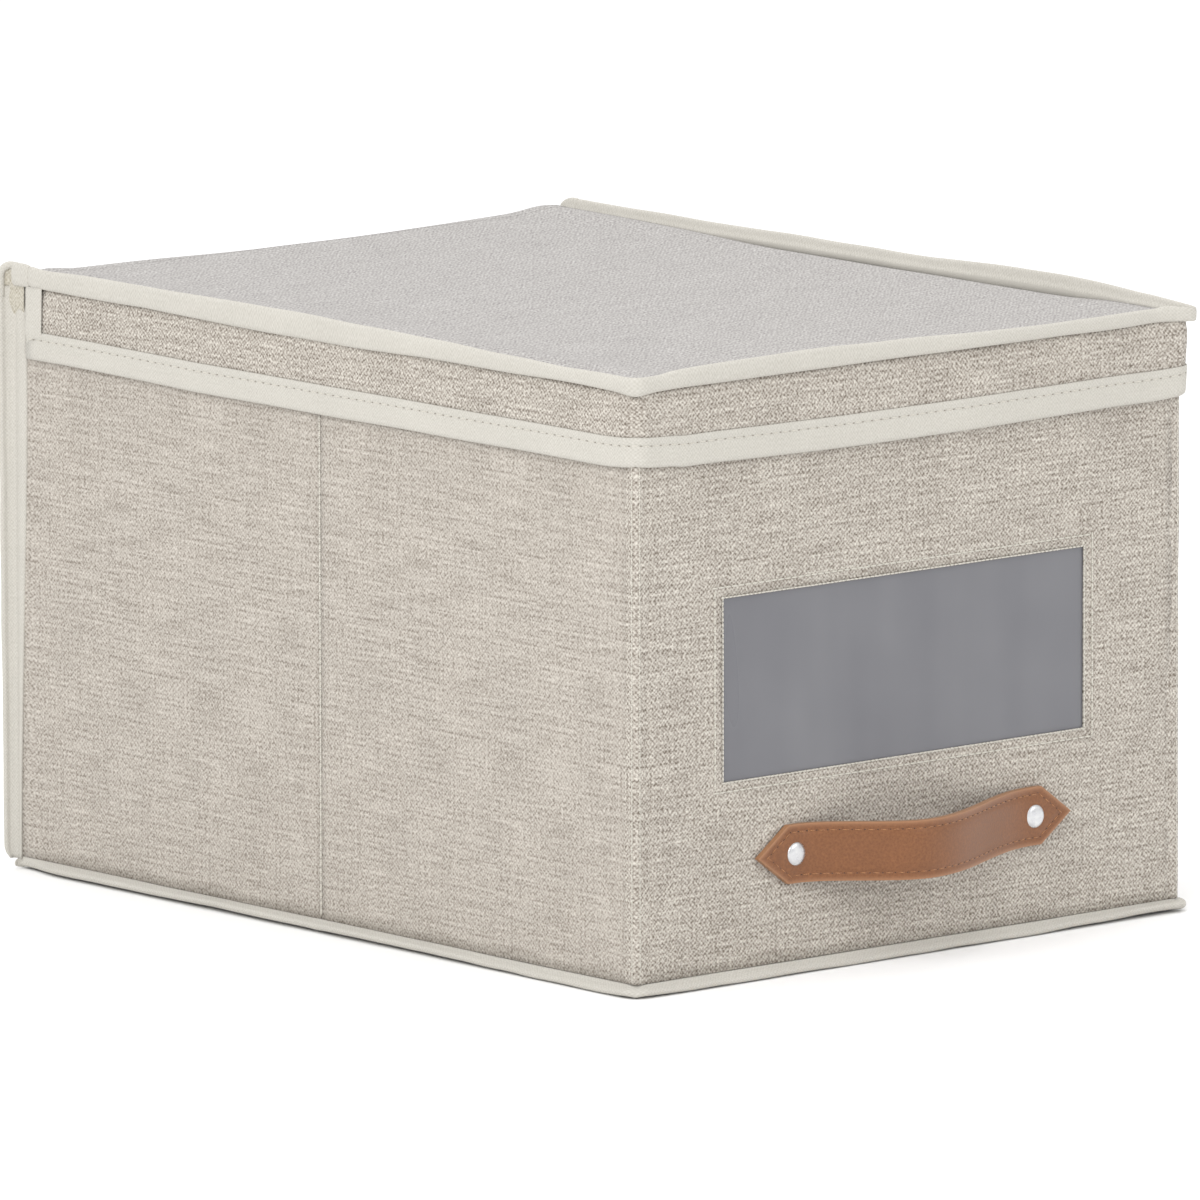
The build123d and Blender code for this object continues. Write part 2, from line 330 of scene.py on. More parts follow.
wall_cloth = make_cloth("wall_linen", 0.00098, wall_steps, 0.25, 2.0, 0.75, 0.16, 0.0003, 0.05)
side_finish = make_cloth("side_linen", 0.00098, side_steps, 0.22, 2.0, 0.9, 0.18, 0.0003, 0.05)
lid_toplit_cloth = make_cloth("lid_linen_toplit", 0.00105, lid_toplit_steps, 0.16, 1.8, 0.45, 0.08, 0.0002, 0.05)
tape_cloth = make_cloth("cream_tape", 0.0008, tape_steps, 0.20, 0.9, 0.2, 0.12, 0.0001, 0.05)
gather_cloth = make_cloth("gathered_linen", 0.0009, gather_steps, 0.3, 1.6, 0.3, 0.2, 0.0002, 0.05)
lining_cloth = make_cloth("lining_cloth", 0.0007, lining_steps, 0.2, 0.7, 0.3, 0.10, 0.0001, 0.05)
print("cloth finishes:", [made.name for made in bpy.data.materials])

# %% [markdown]
# The strap is two layers of brown hide, smooth and slightly waxed on the face, with a paler rounded rim
# where the layers are folded and stitched. The rim comes from an attribute painted on the mesh, and the
# grain from the shared group, which also breaks up the gloss.

# %% Leather
def make_leather():
    """The brown hide of the strap."""
    material, tree, shader = start_material(
        "brown_hide", 0.42, Coat_Weight=0.15, Coat_Roughness=0.35, Specular_IOR_Level=0.4
    )
    where = mesh_place(tree)
    hide = place_group(tree, grain_group, {"Vector": where, "Size": 0.0009})
    face = colour_steps(tree, hide["Grain"], [
        (0.15, shade(115, 67, 33)), (0.75, shade(151, 98, 57)),
    ])
    patches = place_group(tree, stain_group, {
        "Vector": where, "Size": 0.02, "Amount": 0.22, "Colour": face,
    })
    rim = add_node(tree, "ShaderNodeAttribute", attribute_name="rim").outputs["Fac"]
    mixed = add_node(tree, "ShaderNodeMix", data_type="RGBA")
    tree.links.new(rim, mixed.inputs[0])
    tree.links.new(patches["Colour"], mixed.inputs[6])
    mixed.inputs[7].default_value = (*shade(172, 124, 88), 1.0)
    tree.links.new(mixed.outputs[2], shader.inputs["Base Color"])
    gloss = calc(tree, "MULTIPLY_ADD", hide["Grain"], 0.22, 0.33)
    tree.links.new(gloss, shader.inputs["Roughness"])
    emboss(tree, shader, hide["Height"], 0.00012, 0.35)
    return material


leather = make_leather()

# %% [markdown]
# Sewing thread is twisted, so it shows slanting bands of light and shade. Diagonal waves paint that light
# and shade into its colour at no cost in geometry. The same finish in dark colours paints the shade in
# the holes that a needle leaves.

# %% Thread finishes, needle holes
def make_thread(name, dark, light):
    """Twisted sewing thread: fine slanting bands, light on the twist and dark between."""
    material, tree, shader = start_material(name, 0.7, Sheen_Weight=0.2)
    where = mesh_place(tree)
    band = add_node(tree, "ShaderNodeTexWave", {"Vector": where, "Scale": 900.0, "Distortion": 2.0},
                    bands_direction="DIAGONAL")
    # The ramp from dark to light along the waves is the painted light and shade of the twist.
    tree.links.new(colour_steps(tree, band.outputs["Fac"], [(0.0, dark), (1.0, light)]),
                   shader.inputs["Base Color"])
    emboss(tree, shader, band.outputs["Fac"], 0.00005, 0.4)
    return material


cream_thread = make_thread("cream_thread", shade(196, 190, 176), shade(242, 238, 228))
tan_thread = make_thread("tan_thread", shade(150, 96, 52), shade(208, 150, 98))
# Painted shade: the two dark finishes below stand for the shade in the needle holes of hem and strap.
hem_shadow = make_thread("hem_needle_shadow", shade(148, 142, 130), shade(176, 170, 158))
hole_shadow = make_thread("needle_hole_shade", shade(52, 30, 18), shade(84, 50, 32))

# %% [markdown]
# The rivets are nickel caps, bright and a little clouded by handling. The window is a soft clear film, a
# little milky, with upright streaks where it was rolled; its grey is partly its own milky haze and partly
# painted shade, that of the dim inside of the closed bin seen through it. The boards are grey chip board,
# seen only on cut edges.

# %% Metal, film and board
def make_metal():
    """The nickel of the rivets."""
    material, tree, shader = start_material("nickel", 0.25, Metallic=1.0)
    where = mesh_place(tree)
    handled = grainy(tree, where, 420.0, 4.0, 0.6)
    tree.links.new(calc(tree, "MULTIPLY_ADD", handled, 0.3, 0.16), shader.inputs["Roughness"])
    tree.links.new(colour_steps(tree, handled, [(0.3, shade(222, 223, 226)), (0.7, shade(246, 246, 246))]),
                   shader.inputs["Base Color"])
    emboss(tree, shader, handled, 0.00003, 0.3)
    return material


def make_film():
    """The milky film of the window, whose grey is partly painted shade of the dim inside seen through it.
    """
    material, tree, shader = start_material("window_film", 0.3, Specular_IOR_Level=0.4)
    spread = cloth_map(tree)
    streaks = grainy(tree, calc_vector(tree, "MULTIPLY", spread, (26.0, 3.0, 1.0)), 1.0, 2.0, 0.5)
    clouds = grainy(tree, spread, 22.0, 2.0, 0.5)
    mask = calc(tree, "MULTIPLY_ADD", streaks, 0.6, calc(tree, "MULTIPLY", clouds, 0.4))
    # The grey here is partly the film's milky haze and partly painted shade of the dim inside behind it.
    tree.links.new(colour_steps(tree, mask, [(0.3, shade(142, 142, 148)), (0.7, shade(156, 156, 160))]),
                   shader.inputs["Base Color"])
    tree.links.new(calc(tree, "MULTIPLY_ADD", mask, 0.08, 0.68), shader.inputs["Alpha"])
    tree.links.new(calc(tree, "MULTIPLY_ADD", streaks, 0.2, 0.2), shader.inputs["Roughness"])
    emboss(tree, shader, streaks, 0.0006, 0.12)
    return material


def make_board():
    """Grey chip board."""
    material, tree, shader = start_material("grey_board", 0.9, Specular_IOR_Level=0.2)
    where = mesh_place(tree)
    fibres = grainy(tree, calc_vector(tree, "MULTIPLY", where, (1.0, 1.0, 3.0)), 700.0, 4.0, 0.7)
    chips = place_group(tree, stain_group, {
        "Vector": where, "Size": 0.008, "Amount": 0.3,
        "Colour": colour_steps(tree, fibres, [(0.3, shade(140, 132, 120)), (0.7, shade(184, 177, 165))]),
    })
    tree.links.new(chips["Colour"], shader.inputs["Base Color"])
    emboss(tree, shader, fibres, 0.0002, 0.5)
    return material


nickel = make_metal()
film = make_film()
board = make_board()
print("materials made:", len(bpy.data.materials))

# %% [markdown]
# ## How the soft pieces are cut
#
# Nearly every soft piece of the bin is a strip: a wall's cloth is a strip as long as the wall, a tape is
# a narrow one that turns the corners. So one helper starts with the strip's cross-section, a few
# vertices, and extrudes that line step by step along a path of straight runs and turns. Each vertex
# remembers how far along and how far across it lies, and that becomes the UV map in metres. Afterwards
# the strip is softened: its vertices are pushed by slow noise, because cloth over board is never flat.
# The small curves that shape these pushes, a step, a hump and a bell, are kept here too.

# %% Strips swept along a path
MM = 0.001
SAME_PLACE = 1e-6  # points nearer than this count as one
HALF_WIDTH = 0.150
HALF_DEPTH = 0.199
UP = Vector((0.0, 0.0, 1.0))
WALLS_MIDDLE = Vector((0.0, 0.0, 0.12))


def fill_in(points, step):
    """The same line with more points, none further apart than step."""
    line = [Vector(points[0])]
    for end in points[1:]:
        start = line[-1].copy()
        count = max(1, math.ceil((Vector(end) - start).length / step))
        line.extend(start.lerp(Vector(end), k / count) for k in range(1, count + 1))
    return line


def outline(steps, first, second, side=1):
    """Pairs of places from steps in millimetres, away from a first and a second value."""
    return [(first + side * one * MM, second + two * MM) for one, two in steps]


def sweep(points, moves, closed=False):
    """A strip: points is its cross-section, moves its path, as ("go", vector, steps) or
    ("turn", centre, angle, steps) about an upright axis, or another one given after steps.
    Its UV map is in metres."""
    strip = bmesh.new()
    run = strip.verts.layers.float.new("run")
    across = strip.verts.layers.float.new("across")
    verts = [strip.verts.new(p) for p in points]
    reach = 0.0
    for k, vert in enumerate(verts):
        reach += (vert.co - verts[k - 1].co).length if k else 0.0
        vert[across] = reach
    pairs = list(zip(verts, verts[1:])) + ([(verts[-1], verts[0])] if closed else [])
    edges = [strip.edges.new(pair) for pair in pairs]
    centre_line = sum((Vector(p) for p in points), Vector()) / len(points)
    travelled = 0.0
    for kind, where, *rest in moves:
        angle, steps = rest[:2] if kind == "turn" else (0.0, rest[0])
        axis = rest[2] if len(rest) > 2 else "Z"
        for _ in range(steps):
            grown = bmesh.ops.extrude_edge_only(strip, edges=edges)["geom"]
            fresh = {g for g in grown if isinstance(g, bmesh.types.BMVert)}
            edges = [
                g for g in grown
                if isinstance(g, bmesh.types.BMEdge) and all(v in fresh for v in g.verts)
            ]
            if kind == "go":
                step = Vector(where) / steps
                bmesh.ops.translate(strip, verts=list(fresh), vec=step)
            else:
                turn = Matrix.Rotation(angle / steps, 3, axis)
                bmesh.ops.rotate(strip, verts=list(fresh), cent=Vector(where), matrix=turn)
                step = (turn @ (centre_line - Vector(where))) - (centre_line - Vector(where))
            centre_line = sum((v.co for v in fresh), Vector()) / len(fresh)
            travelled += step.length
            for vert in fresh:
                vert[run] = travelled
    write_map(strip, run, across)
    return strip


def write_map(strip, run, across):
    """The UV map called cloth, in metres, from the two distances that each vertex remembers."""
    layer = strip.loops.layers.uv.new("cloth")
    for face in strip.faces:
        for corner in face.loops:
            corner[layer].uv = (corner.vert[run], corner.vert[across])


def flat_sheet(width, length, step):
    """A flat sheet about the origin in the XY plane, with its UV map in metres."""
    sheet = bmesh.new()
    bmesh.ops.create_grid(
        sheet, x_segments=max(2, round(width / step)), y_segments=max(2, round(length / step)), size=0.5
    )
    bmesh.ops.scale(sheet, verts=sheet.verts, vec=(width, length, 1.0))
    run = sheet.verts.layers.float.new("run")
    across = sheet.verts.layers.float.new("across")
    for vert in sheet.verts:
        vert[run] = vert.co.x + width / 2
        vert[across] = vert.co.y + length / 2
    write_map(sheet, run, across)
    return sheet


def ripple(place, size, seed):
    """Slow noise between about -1 and 1, the same each run."""
    return noise.noise(place / size + Vector((seed * 7.3, seed * 3.1, seed * 1.7)))


def clamp(part):
    """A number kept between 0 and 1."""
    return max(0.0, min(1.0, part))


def ease(part):
    """A smooth step from 0 to 1."""
    part = clamp(part)
    return part * part * (3 - 2 * part)


def hump(value, middle, reach):
    """1 at the middle, falling off as a parabola to 0 at reach from it."""
    return max(0.0, 1.0 - ((value - middle) / reach) ** 2)


def bell(value, middle, width):
    """1 at the middle, falling off smoothly and never quite to 0."""
    return math.exp(-((value - middle) / width) ** 2)


def word(side):
    """The name of a side: -1 is left and 1 is right."""
    return "left" if side < 0 else "right"


def soften(cloth, push):
    """Moves each vertex by what push says for its place."""
    for vert in cloth.verts:
        vert.co += push(vert.co.copy())


def face_away(cloth, centre):
    """Turns an open sheet so that its faces look away from a point."""
    total = sum(f.calc_area() * f.normal.dot(f.calc_center_median() - Vector(centre)) for f in cloth.faces)
    if total < 0:
        bmesh.ops.reverse_faces(cloth, faces=cloth.faces)


def round_edges(shape, edges, radius, segments, **settings):
    """Rounds edges of a solid shape."""
    bmesh.ops.bevel(
        shape, geom=edges, offset=radius, segments=segments, profile=0.5, affect="EDGES", material=-1,
        offset_type="OFFSET", **settings,
    )

# %% Turning a bmesh into a finished piece
def make_piece(name, shape, material, body=None, stands_for=(), thickness=0.0, offset=-1.0):
    """An object with its place in its mesh, smooth shaded, riding on a body of the frame when one is
    given.
    """
    shape.normal_update()
    mesh = bpy.data.meshes.new(name)
    shape.to_mesh(mesh)
    shape.free()
    mesh.materials.append(material)
    for polygon in mesh.polygons:
        polygon.use_smooth = True
    made = bpy.data.objects.new(name, mesh)
    bpy.context.scene.collection.objects.link(made)
    if thickness:
        layer = made.modifiers.new("thickness", "SOLIDIFY")
        layer.thickness = thickness
        layer.offset = offset
        layer.use_even_offset = True
    if body:
        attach(made, body)
    if stands_for:
        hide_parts(*stands_for)
    return made


def round_off(made):
    """Smooths a piece that was swept with few vertices."""
    smooth = made.modifiers.new("smooth", "SUBSURF")
    smooth.levels = 1
    smooth.render_levels = 1


def declare(made, flat):
    """Says what size the cloth was cut to, and prints it."""
    width, length = flat[0] / MM, flat[1] / MM
    print(f"{made.name}: cut {width:.0f} x {length:.0f} mm, {len(made.data.polygons)} faces")

# %% [markdown]
# ## The side walls
#
# Each side wall folds at an upright crease in its middle, so it has two boards and two pieces of cloth.
# A piece of cloth goes up the outside of its board, over the top and down the inside by a finger's
# breadth, where the lining is glued over it. Its cross-section is that line, and it is swept along the
# wall. At the crease the cloth dips towards the board, as it does where it is sewn, and at the rear it
# reaches under the tape of the corner seam.

# %% Side wall cloths
WALL_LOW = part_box("left_rear_cover")[0].z
WALL_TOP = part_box("left_rear_cover")[1].z
WALL_DEEP = 3.8 * MM
WALL_CLOTH_TALL = 262 * MM  # from the turn under the base, up and over, to the end of the turn-in
TURN_IN = 9 * MM
EDGE_DIP = 0.12 * MM
SKIN = 0.12 * MM
CLOTH_THICK = 0.3 * MM
SEAM_REACH = 3.4 * MM


def over_the_top(outside, inwards):
    """The cross-section of a wall's cloth: outside is a point on the outer face at the wall's foot."""
    out = Vector(outside)
    deep = Vector(inwards) * (WALL_DEEP + 0.25 * MM)
    top = WALL_TOP - WALL_LOW
    line = [
        out,
        out + UP * (top - 1.6 * MM),
        out + UP * (top - 0.5 * MM) + deep * 0.08,
        out + UP * (top + SKIN) + deep * 0.25,
        out + UP * (top + SKIN) + deep * 0.75,
        out + UP * (top - 0.5 * MM) + deep * 0.95,
        out + UP * (top - 1.6 * MM) + deep,
        out + UP * (top - TURN_IN) + deep,
    ]
    return fill_in(line, 5.5 * MM)


def side_cloth(side, part):
    """The cloth of one board of a side wall; side is -1 on the left and 1 on the right."""
    body = f"{word(side)}_{part}"
    low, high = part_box(f"{body}_cover")
    inner_low = low.y if part == "rear" else low.y + 1.5 * MM
    inner_high = high.y - 1.0 * MM if part == "rear" else high.y
    start = Vector((side * HALF_WIDTH, inner_low, WALL_LOW))
    cloth = sweep(over_the_top(start, (-side, 0, 0)), [("go", (0, inner_high - inner_low, 0), 44)])
    middle = Vector((side * (HALF_WIDTH - WALL_DEEP / 2), (inner_low + inner_high) / 2, WALLS_MIDDLE.z))
    face_away(cloth, middle)
    crease = high.y if part == "front" else low.y

    def push(place):
        near_crease = max(0.0, 1.0 - abs(place.y - crease) / (5 * MM))
        puff = 0.35 + 0.35 * ripple(place, 0.055, 2 + side) + 0.15 * ripple(place, 0.02, 5)
        if abs(place.x) < HALF_WIDTH - 1.0 * MM or place.z > WALL_TOP - 3 * MM:
            puff = 0.0
        reach = 0.0
        if part == "rear" and abs(place.x) > HALF_WIDTH - 1.0 * MM:
            reach = SEAM_REACH * ease((place.y - inner_high + 12 * MM) / (12 * MM))
        return Vector((side * (puff * MM * (1 - near_crease) - EDGE_DIP * near_crease ** 2), reach, 0))

    soften(cloth, push)
    nodes = [f"{body}_cover"]
    made = make_piece(f"{body}_cloth", cloth, side_finish, body, nodes, CLOTH_THICK)
    declare(made, (inner_high - inner_low, WALL_CLOTH_TALL))


for side in (-1, 1):
    for part in ("rear", "front"):
        side_cloth(side, part)

# %% [markdown]
# ## The front wall
#
# The front's cloth is one strip too, with the window cut out of it. The cut is made with four slices
# through the mesh, and the faces inside them are deleted, which leaves a clean sharp opening whose edge
# shows the cloth's thickness.

# %% Front wall cloth with its window
WINDOW_MIDDLE = -3.5 * MM
WINDOW_WIDE = 198.5 * MM
WINDOW_LEFT = WINDOW_MIDDLE - WINDOW_WIDE / 2
WINDOW_RIGHT = WINDOW_MIDDLE + WINDOW_WIDE / 2
WINDOW_FOOT = 84.0 * MM
WINDOW_HEAD = 160.0 * MM
FRONT_END = 145.5 * MM


def cut_window(cloth, grow=0.0):
    """Slices the cloth along the window's four sides and takes out what lies between."""
    sides = [
        ((WINDOW_LEFT - grow, 0, 0), (1, 0, 0)), ((WINDOW_RIGHT + grow, 0, 0), (1, 0, 0)),
        ((0, 0, WINDOW_FOOT - grow), (0, 0, 1)), ((0, 0, WINDOW_HEAD + grow), (0, 0, 1)),
    ]
    for place, direction in sides:
        everything = cloth.verts[:] + cloth.edges[:] + cloth.faces[:]
        bmesh.ops.bisect_plane(cloth, geom=everything, dist=SAME_PLACE, plane_co=place, plane_no=direction)
    inside = [
        f for f in cloth.faces
        if WINDOW_LEFT - grow < f.calc_center_median().x < WINDOW_RIGHT + grow
        and WINDOW_FOOT - grow < f.calc_center_median().z < WINDOW_HEAD + grow
    ]
    bmesh.ops.delete(cloth, geom=inside, context="FACES")


def front_puff(place):
    """How far the front's cloth stands off its board."""
    puff = 0.3 + 0.3 * ripple(place, 0.06, 11) + 0.15 * ripple(place, 0.022, 12)
    return max(0.0, puff) * MM


def front_cloth():
    """The cloth of the front wall, between the two corner strips."""
    start = Vector((-FRONT_END, -HALF_DEPTH, WALL_LOW))
    cloth = sweep(over_the_top(start, (0, 1, 0)), [("go", (2 * FRONT_END, 0, 0), 60)])
    face_away(cloth, (0, -HALF_DEPTH + WALL_DEEP / 2, WALLS_MIDDLE.z))
    cut_window(cloth)

    def push(place):
        outer = place.y < -HALF_DEPTH + 1.0 * MM and place.z < WALL_TOP - 3 * MM
        return Vector((0, -front_puff(place) if outer else 0.0, 0))

    soften(cloth, push)
    nodes = ["front_cover"]
    made = make_piece("front_cloth", cloth, wall_cloth, "front_wall", nodes, CLOTH_THICK)
    declare(made, (2 * FRONT_END, WALL_CLOTH_TALL))


front_cloth()

# %% [markdown]
# ## The front corners
#
# Front and side cloths are sewn together down each front corner, with a soft rounded fold and a row of
# fine pale stitches either side. The corner is its own strip. On the right it rides on the front wall; on
# the left, where the walls stay joined as the bin folds, it rides on neither wall and stays where it is
# made.

# %% Corner strips
CORNER_ROUND = 2.3 * MM
CORNER_REACH = 8.0 * MM
CORNER_PROUD = 0.55 * MM


def corner_line(side):
    """The plan of a corner: from the side wall, round the fold, to the front."""
    x = side * HALF_WIDTH
    proud = CORNER_PROUD
    points = [
        (x - side * 0.2 * MM, -HALF_DEPTH + CORNER_REACH),
        (x + side * 0.5 * proud, -HALF_DEPTH + 6.8 * MM),
    ]
    for k in range(7):
        turn = math.radians(90 * k / 6)
        points.append((
            x + side * proud - side * CORNER_ROUND * (1 - math.cos(turn)),
            -HALF_DEPTH - proud + CORNER_ROUND * (1 - math.sin(turn)),
        ))
    points.append((x - side * 6.8 * MM, -HALF_DEPTH - 0.5 * proud))
    points.append((x - side * CORNER_REACH, -HALF_DEPTH + 0.2 * MM))
    return [Vector((px, py, WALL_LOW)) for px, py in points]


def turn_map(cloth):
    """Swaps the two directions of the map, for a strip that was swept upwards."""
    layer = cloth.loops.layers.uv["cloth"]
    for face in cloth.faces:
        for corner in face.loops:
            corner[layer].uv = (corner[layer].uv.y, corner[layer].uv.x)


def corner_bulge(place, side):
    """How far the corner's cloth stands out, straight away from the bin's middle."""
    bulge = 0.25 * ripple(place, 0.03, 21 + side) + 0.15 * ripple(place, 0.012, 23)
    return Vector((side, -1, 0)).normalized() * bulge * MM


def corner_strip(side):
    """The rounded strip down a front corner."""
    line = fill_in(corner_line(side), 1.2 * MM)
    cloth = sweep(line, [("go", (0, 0, WALL_TOP - WALL_LOW - 1.0 * MM), 80)])
    turn_map(cloth)
    face_away(cloth, WALLS_MIDDLE)
    soften(cloth, lambda place: corner_bulge(place, side))
    body = None if side < 0 else "front_wall"
    made = make_piece(f"corner_strip_{word(side)}", cloth, wall_cloth, body, (), CLOTH_THICK)
    if side < 0:
        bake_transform(made)
    declare(made, (16.5 * MM, 242.5 * MM))


for side in (-1, 1):
    corner_strip(side)

# %% [markdown]
# ## The back wall and the lid's hinge
#
# The back is one plain panel of cloth. The lid has no metal hinge: its cloth simply carries on over the
# back edge and down the wall. That piece rides on neither the lid nor the back and stays where it is
# made; it starts from the height that the lid's own cloth has there, so that the two join without a step.

# %% Back cloth and hinge cloth
HINGE_DROP = 12 * MM
LID_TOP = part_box("lid_cover")[1].z
BACK_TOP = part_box("back_cover")[1].z
BOARD_INSET = 12 * MM


def back_cloth():
    """The cloth of the back wall, up to the hinge."""
    start = Vector((-HALF_WIDTH + 1.0 * MM, HALF_DEPTH, WALL_LOW))
    section = fill_in([start, start + UP * (BACK_TOP - 3.0 * MM - WALL_LOW)], 6 * MM)
    cloth = sweep(section, [("go", (2 * HALF_WIDTH - 2 * MM, 0, 0), 50)])
    face_away(cloth, WALLS_MIDDLE)

    def push(place):
        puff = 0.35 + 0.35 * ripple(place, 0.06, 31) + 0.1 * ripple(place, 0.02, 32)
        return Vector((0, puff * MM, 0))

    soften(cloth, push)
    nodes = ["back_cover"]
    made = make_piece("back_cloth", cloth, wall_cloth, "back_and_base", nodes, CLOTH_THICK)
    declare(made, (298 * MM, 244 * MM))


def lid_height(x, y):
    """How far the lid's cloth stands above its flat place, or below it past the board's edge."""
    place = Vector((x, y, 0))
    ridge = 1.3 * MM * bell(x, -0.133, 0.009)
    ridge += 1.7 * MM * bell(x, 0.142, 0.012) * ease((y - 0.02) / 0.14)
    body = 0.25 * MM + 0.35 * MM * ripple(place, 0.11, 41) + 0.25 * MM * ripple(place, 0.035, 42)
    off_right = ease((x - HALF_WIDTH + BOARD_INSET) / BOARD_INSET)
    off_rear = ease((y - HALF_DEPTH + BOARD_INSET) / (BOARD_INSET - 1 * MM))
    off_rear *= bell(x, 0.020, 0.085)
    off_right *= 1.0 - 0.9 * ease((y - 0.03) / 0.15) - 0.85 * ease((-y - 0.120) / 0.045)
    off_left = ease((-x - HALF_WIDTH + 7 * MM) / (7 * MM))
    dip = 2.3 * MM * max(off_right, off_rear) + 0.8 * MM * off_left
    return max(0.05 * MM, body) + ridge - dip


def hinge_cloth():
    """The strip that joins the lid's cloth to the back wall."""
    y, z = HALF_DEPTH, LID_TOP
    line = outline(
        [(-10, 0.1), (-3.0, 0.35), (-1.0, 0.1), (0.3, -0.8), (0.9, -2.4), (1.0, -HINGE_DROP / MM)], y, z
    )
    section = [Vector((-HALF_WIDTH + 0.8 * MM, py, pz)) for py, pz in line]
    cloth = sweep(fill_in(section, 1.5 * MM), [("go", (2 * HALF_WIDTH - 1.6 * MM, 0, 0), 70)])
    face_away(cloth, (0, y - 8 * MM, z - 8 * MM))

    def push(place):
        over = ease((place.z - z + 5 * MM) / (4 * MM))
        return Vector((0, 0, (lid_height(place.x, min(place.y, y)) - 0.1 * MM) * over))

    soften(cloth, push)
    made = make_piece("hinge_cloth", cloth, lid_toplit_cloth, None, (), CLOTH_THICK)
    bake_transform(made)
    declare(made, (298.4 * MM, 22.5 * MM))


back_cloth()
hinge_cloth()

# %% [markdown]
# ## The lid's top
#
# The lid is a thin board under a panel of the same linen. The board stops a finger's breadth short of
# the seams, so that they can be sewn, and the cloth dips past its edge on the right and at the rear. A
# low soft ridge runs along the left tape and another up the right one, where the seam allowance lies.
# The sheet is a grid whose vertices follow that shape. The board is a rectangle, given its thickness,
# with its corners and then its rims rounded.

# %% Lid cloth and board
def lid_top():
    """The cloth of the lid's top."""
    low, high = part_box("lid_cover")
    rear = high.y - 1.0 * MM
    cloth = flat_sheet(high.x - low.x, rear - low.y, 3.6 * MM)
    bmesh.ops.translate(cloth, verts=cloth.verts, vec=(0, (low.y + rear) / 2, LID_TOP - 0.1 * MM))
    soften(cloth, lambda p: Vector((0, 0, lid_height(p.x, p.y))))
    face_away(cloth, (0, 0, 0))
    made = make_piece("lid_top_cloth", cloth, lid_toplit_cloth, "lid", ["lid_cover"], CLOTH_THICK)
    declare(made, (299 * MM, 396.5 * MM))


def lid_board_panel():
    """The board inside the lid, which stops short of the seams, with its corners and edges rounded."""
    low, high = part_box("lid_board")
    width = high.x - low.x - 2 * BOARD_INSET
    length = high.y - low.y - 2 * BOARD_INSET + 3 * MM
    panel = bmesh.new()
    bmesh.ops.create_grid(panel, x_segments=1, y_segments=1, size=0.5)
    bmesh.ops.scale(panel, verts=panel.verts, vec=(width, length, 1.0))
    bmesh.ops.translate(panel, verts=panel.verts, vec=(0, 0, low.z))
    grown = bmesh.ops.extrude_face_region(panel, geom=panel.faces[:])["geom"]
    upper = [g for g in grown if isinstance(g, bmesh.types.BMVert)]
    bmesh.ops.translate(panel, verts=upper, vec=(0, 0, high.z - low.z - 0.1 * MM))
    uprights = [e for e in panel.edges if abs(e.verts[0].co.z - e.verts[1].co.z) > 1 * MM]
    round_edges(panel, uprights, 6 * MM, 6)
    bmesh.ops.recalc_face_normals(panel, faces=panel.faces)
    round_edges(panel, [e for e in panel.edges if e.calc_face_angle(0.0) > 1.0], 0.4 * MM, 2)
    make_piece("lid_board_panel", panel, board, "lid", ["lid_board"])


lid_board_panel()
lid_top()

# %% [markdown]
# ## The skirt and its tapes
#
# A skirt of linen hangs from three sides of the lid, with a cream tape sewn over its hem, and a thicker
# tape binds the seam where skirt and top meet. All three run in a U round the lid, so they share one
# path: down the left side, round a corner, along the front, round a corner, up the right side. The
# skirt's two rear ends are bound by a short upright tape each, whose foot lies under the hem tape.

# %% The path round the lid
SKIRT_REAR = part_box("skirt_left")[1].y - 2.7 * MM
SKIRT_SEAM = 0.2495
SKIRT_FREE = 31.5 * MM  # from the seam down to the hem
HEM_BAND = 20 * MM  # a place nearer than this to a wall's face is on that side's hem


def round_the_lid(out, corner, rear, side_steps=60, front_steps=48, corner_steps=10):
    """Moves for sweep: a U at a distance out beyond the walls, with corners of that radius."""
    side_x = HALF_WIDTH + out - corner
    front_y = HALF_DEPTH + out - corner
    return [
        ("go", (0, -(rear + front_y), 0), side_steps),
        ("turn", (-side_x, -front_y, 0), math.pi / 2, corner_steps),
        ("go", (2 * side_x, 0, 0), front_steps),
        ("turn", (side_x, -front_y, 0), math.pi / 2, corner_steps),
        ("go", (0, rear + front_y, 0), side_steps),
    ]


def outwards(place, corner=0.006):
    """The level direction away from the lid's middle at a place on its rim."""
    x_core, y_core = HALF_WIDTH - corner, HALF_DEPTH - corner
    nearest = Vector((max(-x_core, min(x_core, place.x)), max(-y_core, place.y), 0))
    away = Vector((place.x, place.y, 0)) - nearest
    return away.normalized() if away.length > SAME_PLACE else Vector((0, 0, 0))


def corner_lift(place, reach=0.022):
    """1 at the front corners of the lid and 0 a little way from them."""
    gap = math.hypot(HALF_WIDTH - abs(place.x), HALF_DEPTH + place.y)
    return max(0.0, 1.0 - gap / reach) ** 2


def hem_wave(place):
    """The slow wander of the hem, up and down, in metres."""
    lift = 1.4 * MM * corner_lift(place)
    sag = 0.0
    if abs(place.y + HALF_DEPTH) < HEM_BAND:
        sag = -1.6 * MM * hump(place.x, 0, 0.11)
    if place.x < -HALF_WIDTH + HEM_BAND:
        sag += 1.2 * MM * hump(place.y, 0.17, 0.09) + 0.8 * MM
    return lift + sag + 0.35 * MM * ripple(Vector((place.x, place.y, 0)), 0.06, 51)


def hang_level(place):
    """0 at the skirt's seam and 1 at its hem."""
    return clamp((SKIRT_SEAM - place.z) / SKIRT_FREE)


def flare(place):
    """How far the skirt swings out from the walls, most at its hem."""
    swing = 0.5 + 0.5 * ripple(Vector((place.x, place.y, place.z * 0.3)), 0.07, 52)
    return (0.2 + 0.9 * swing * hang_level(place)) * MM

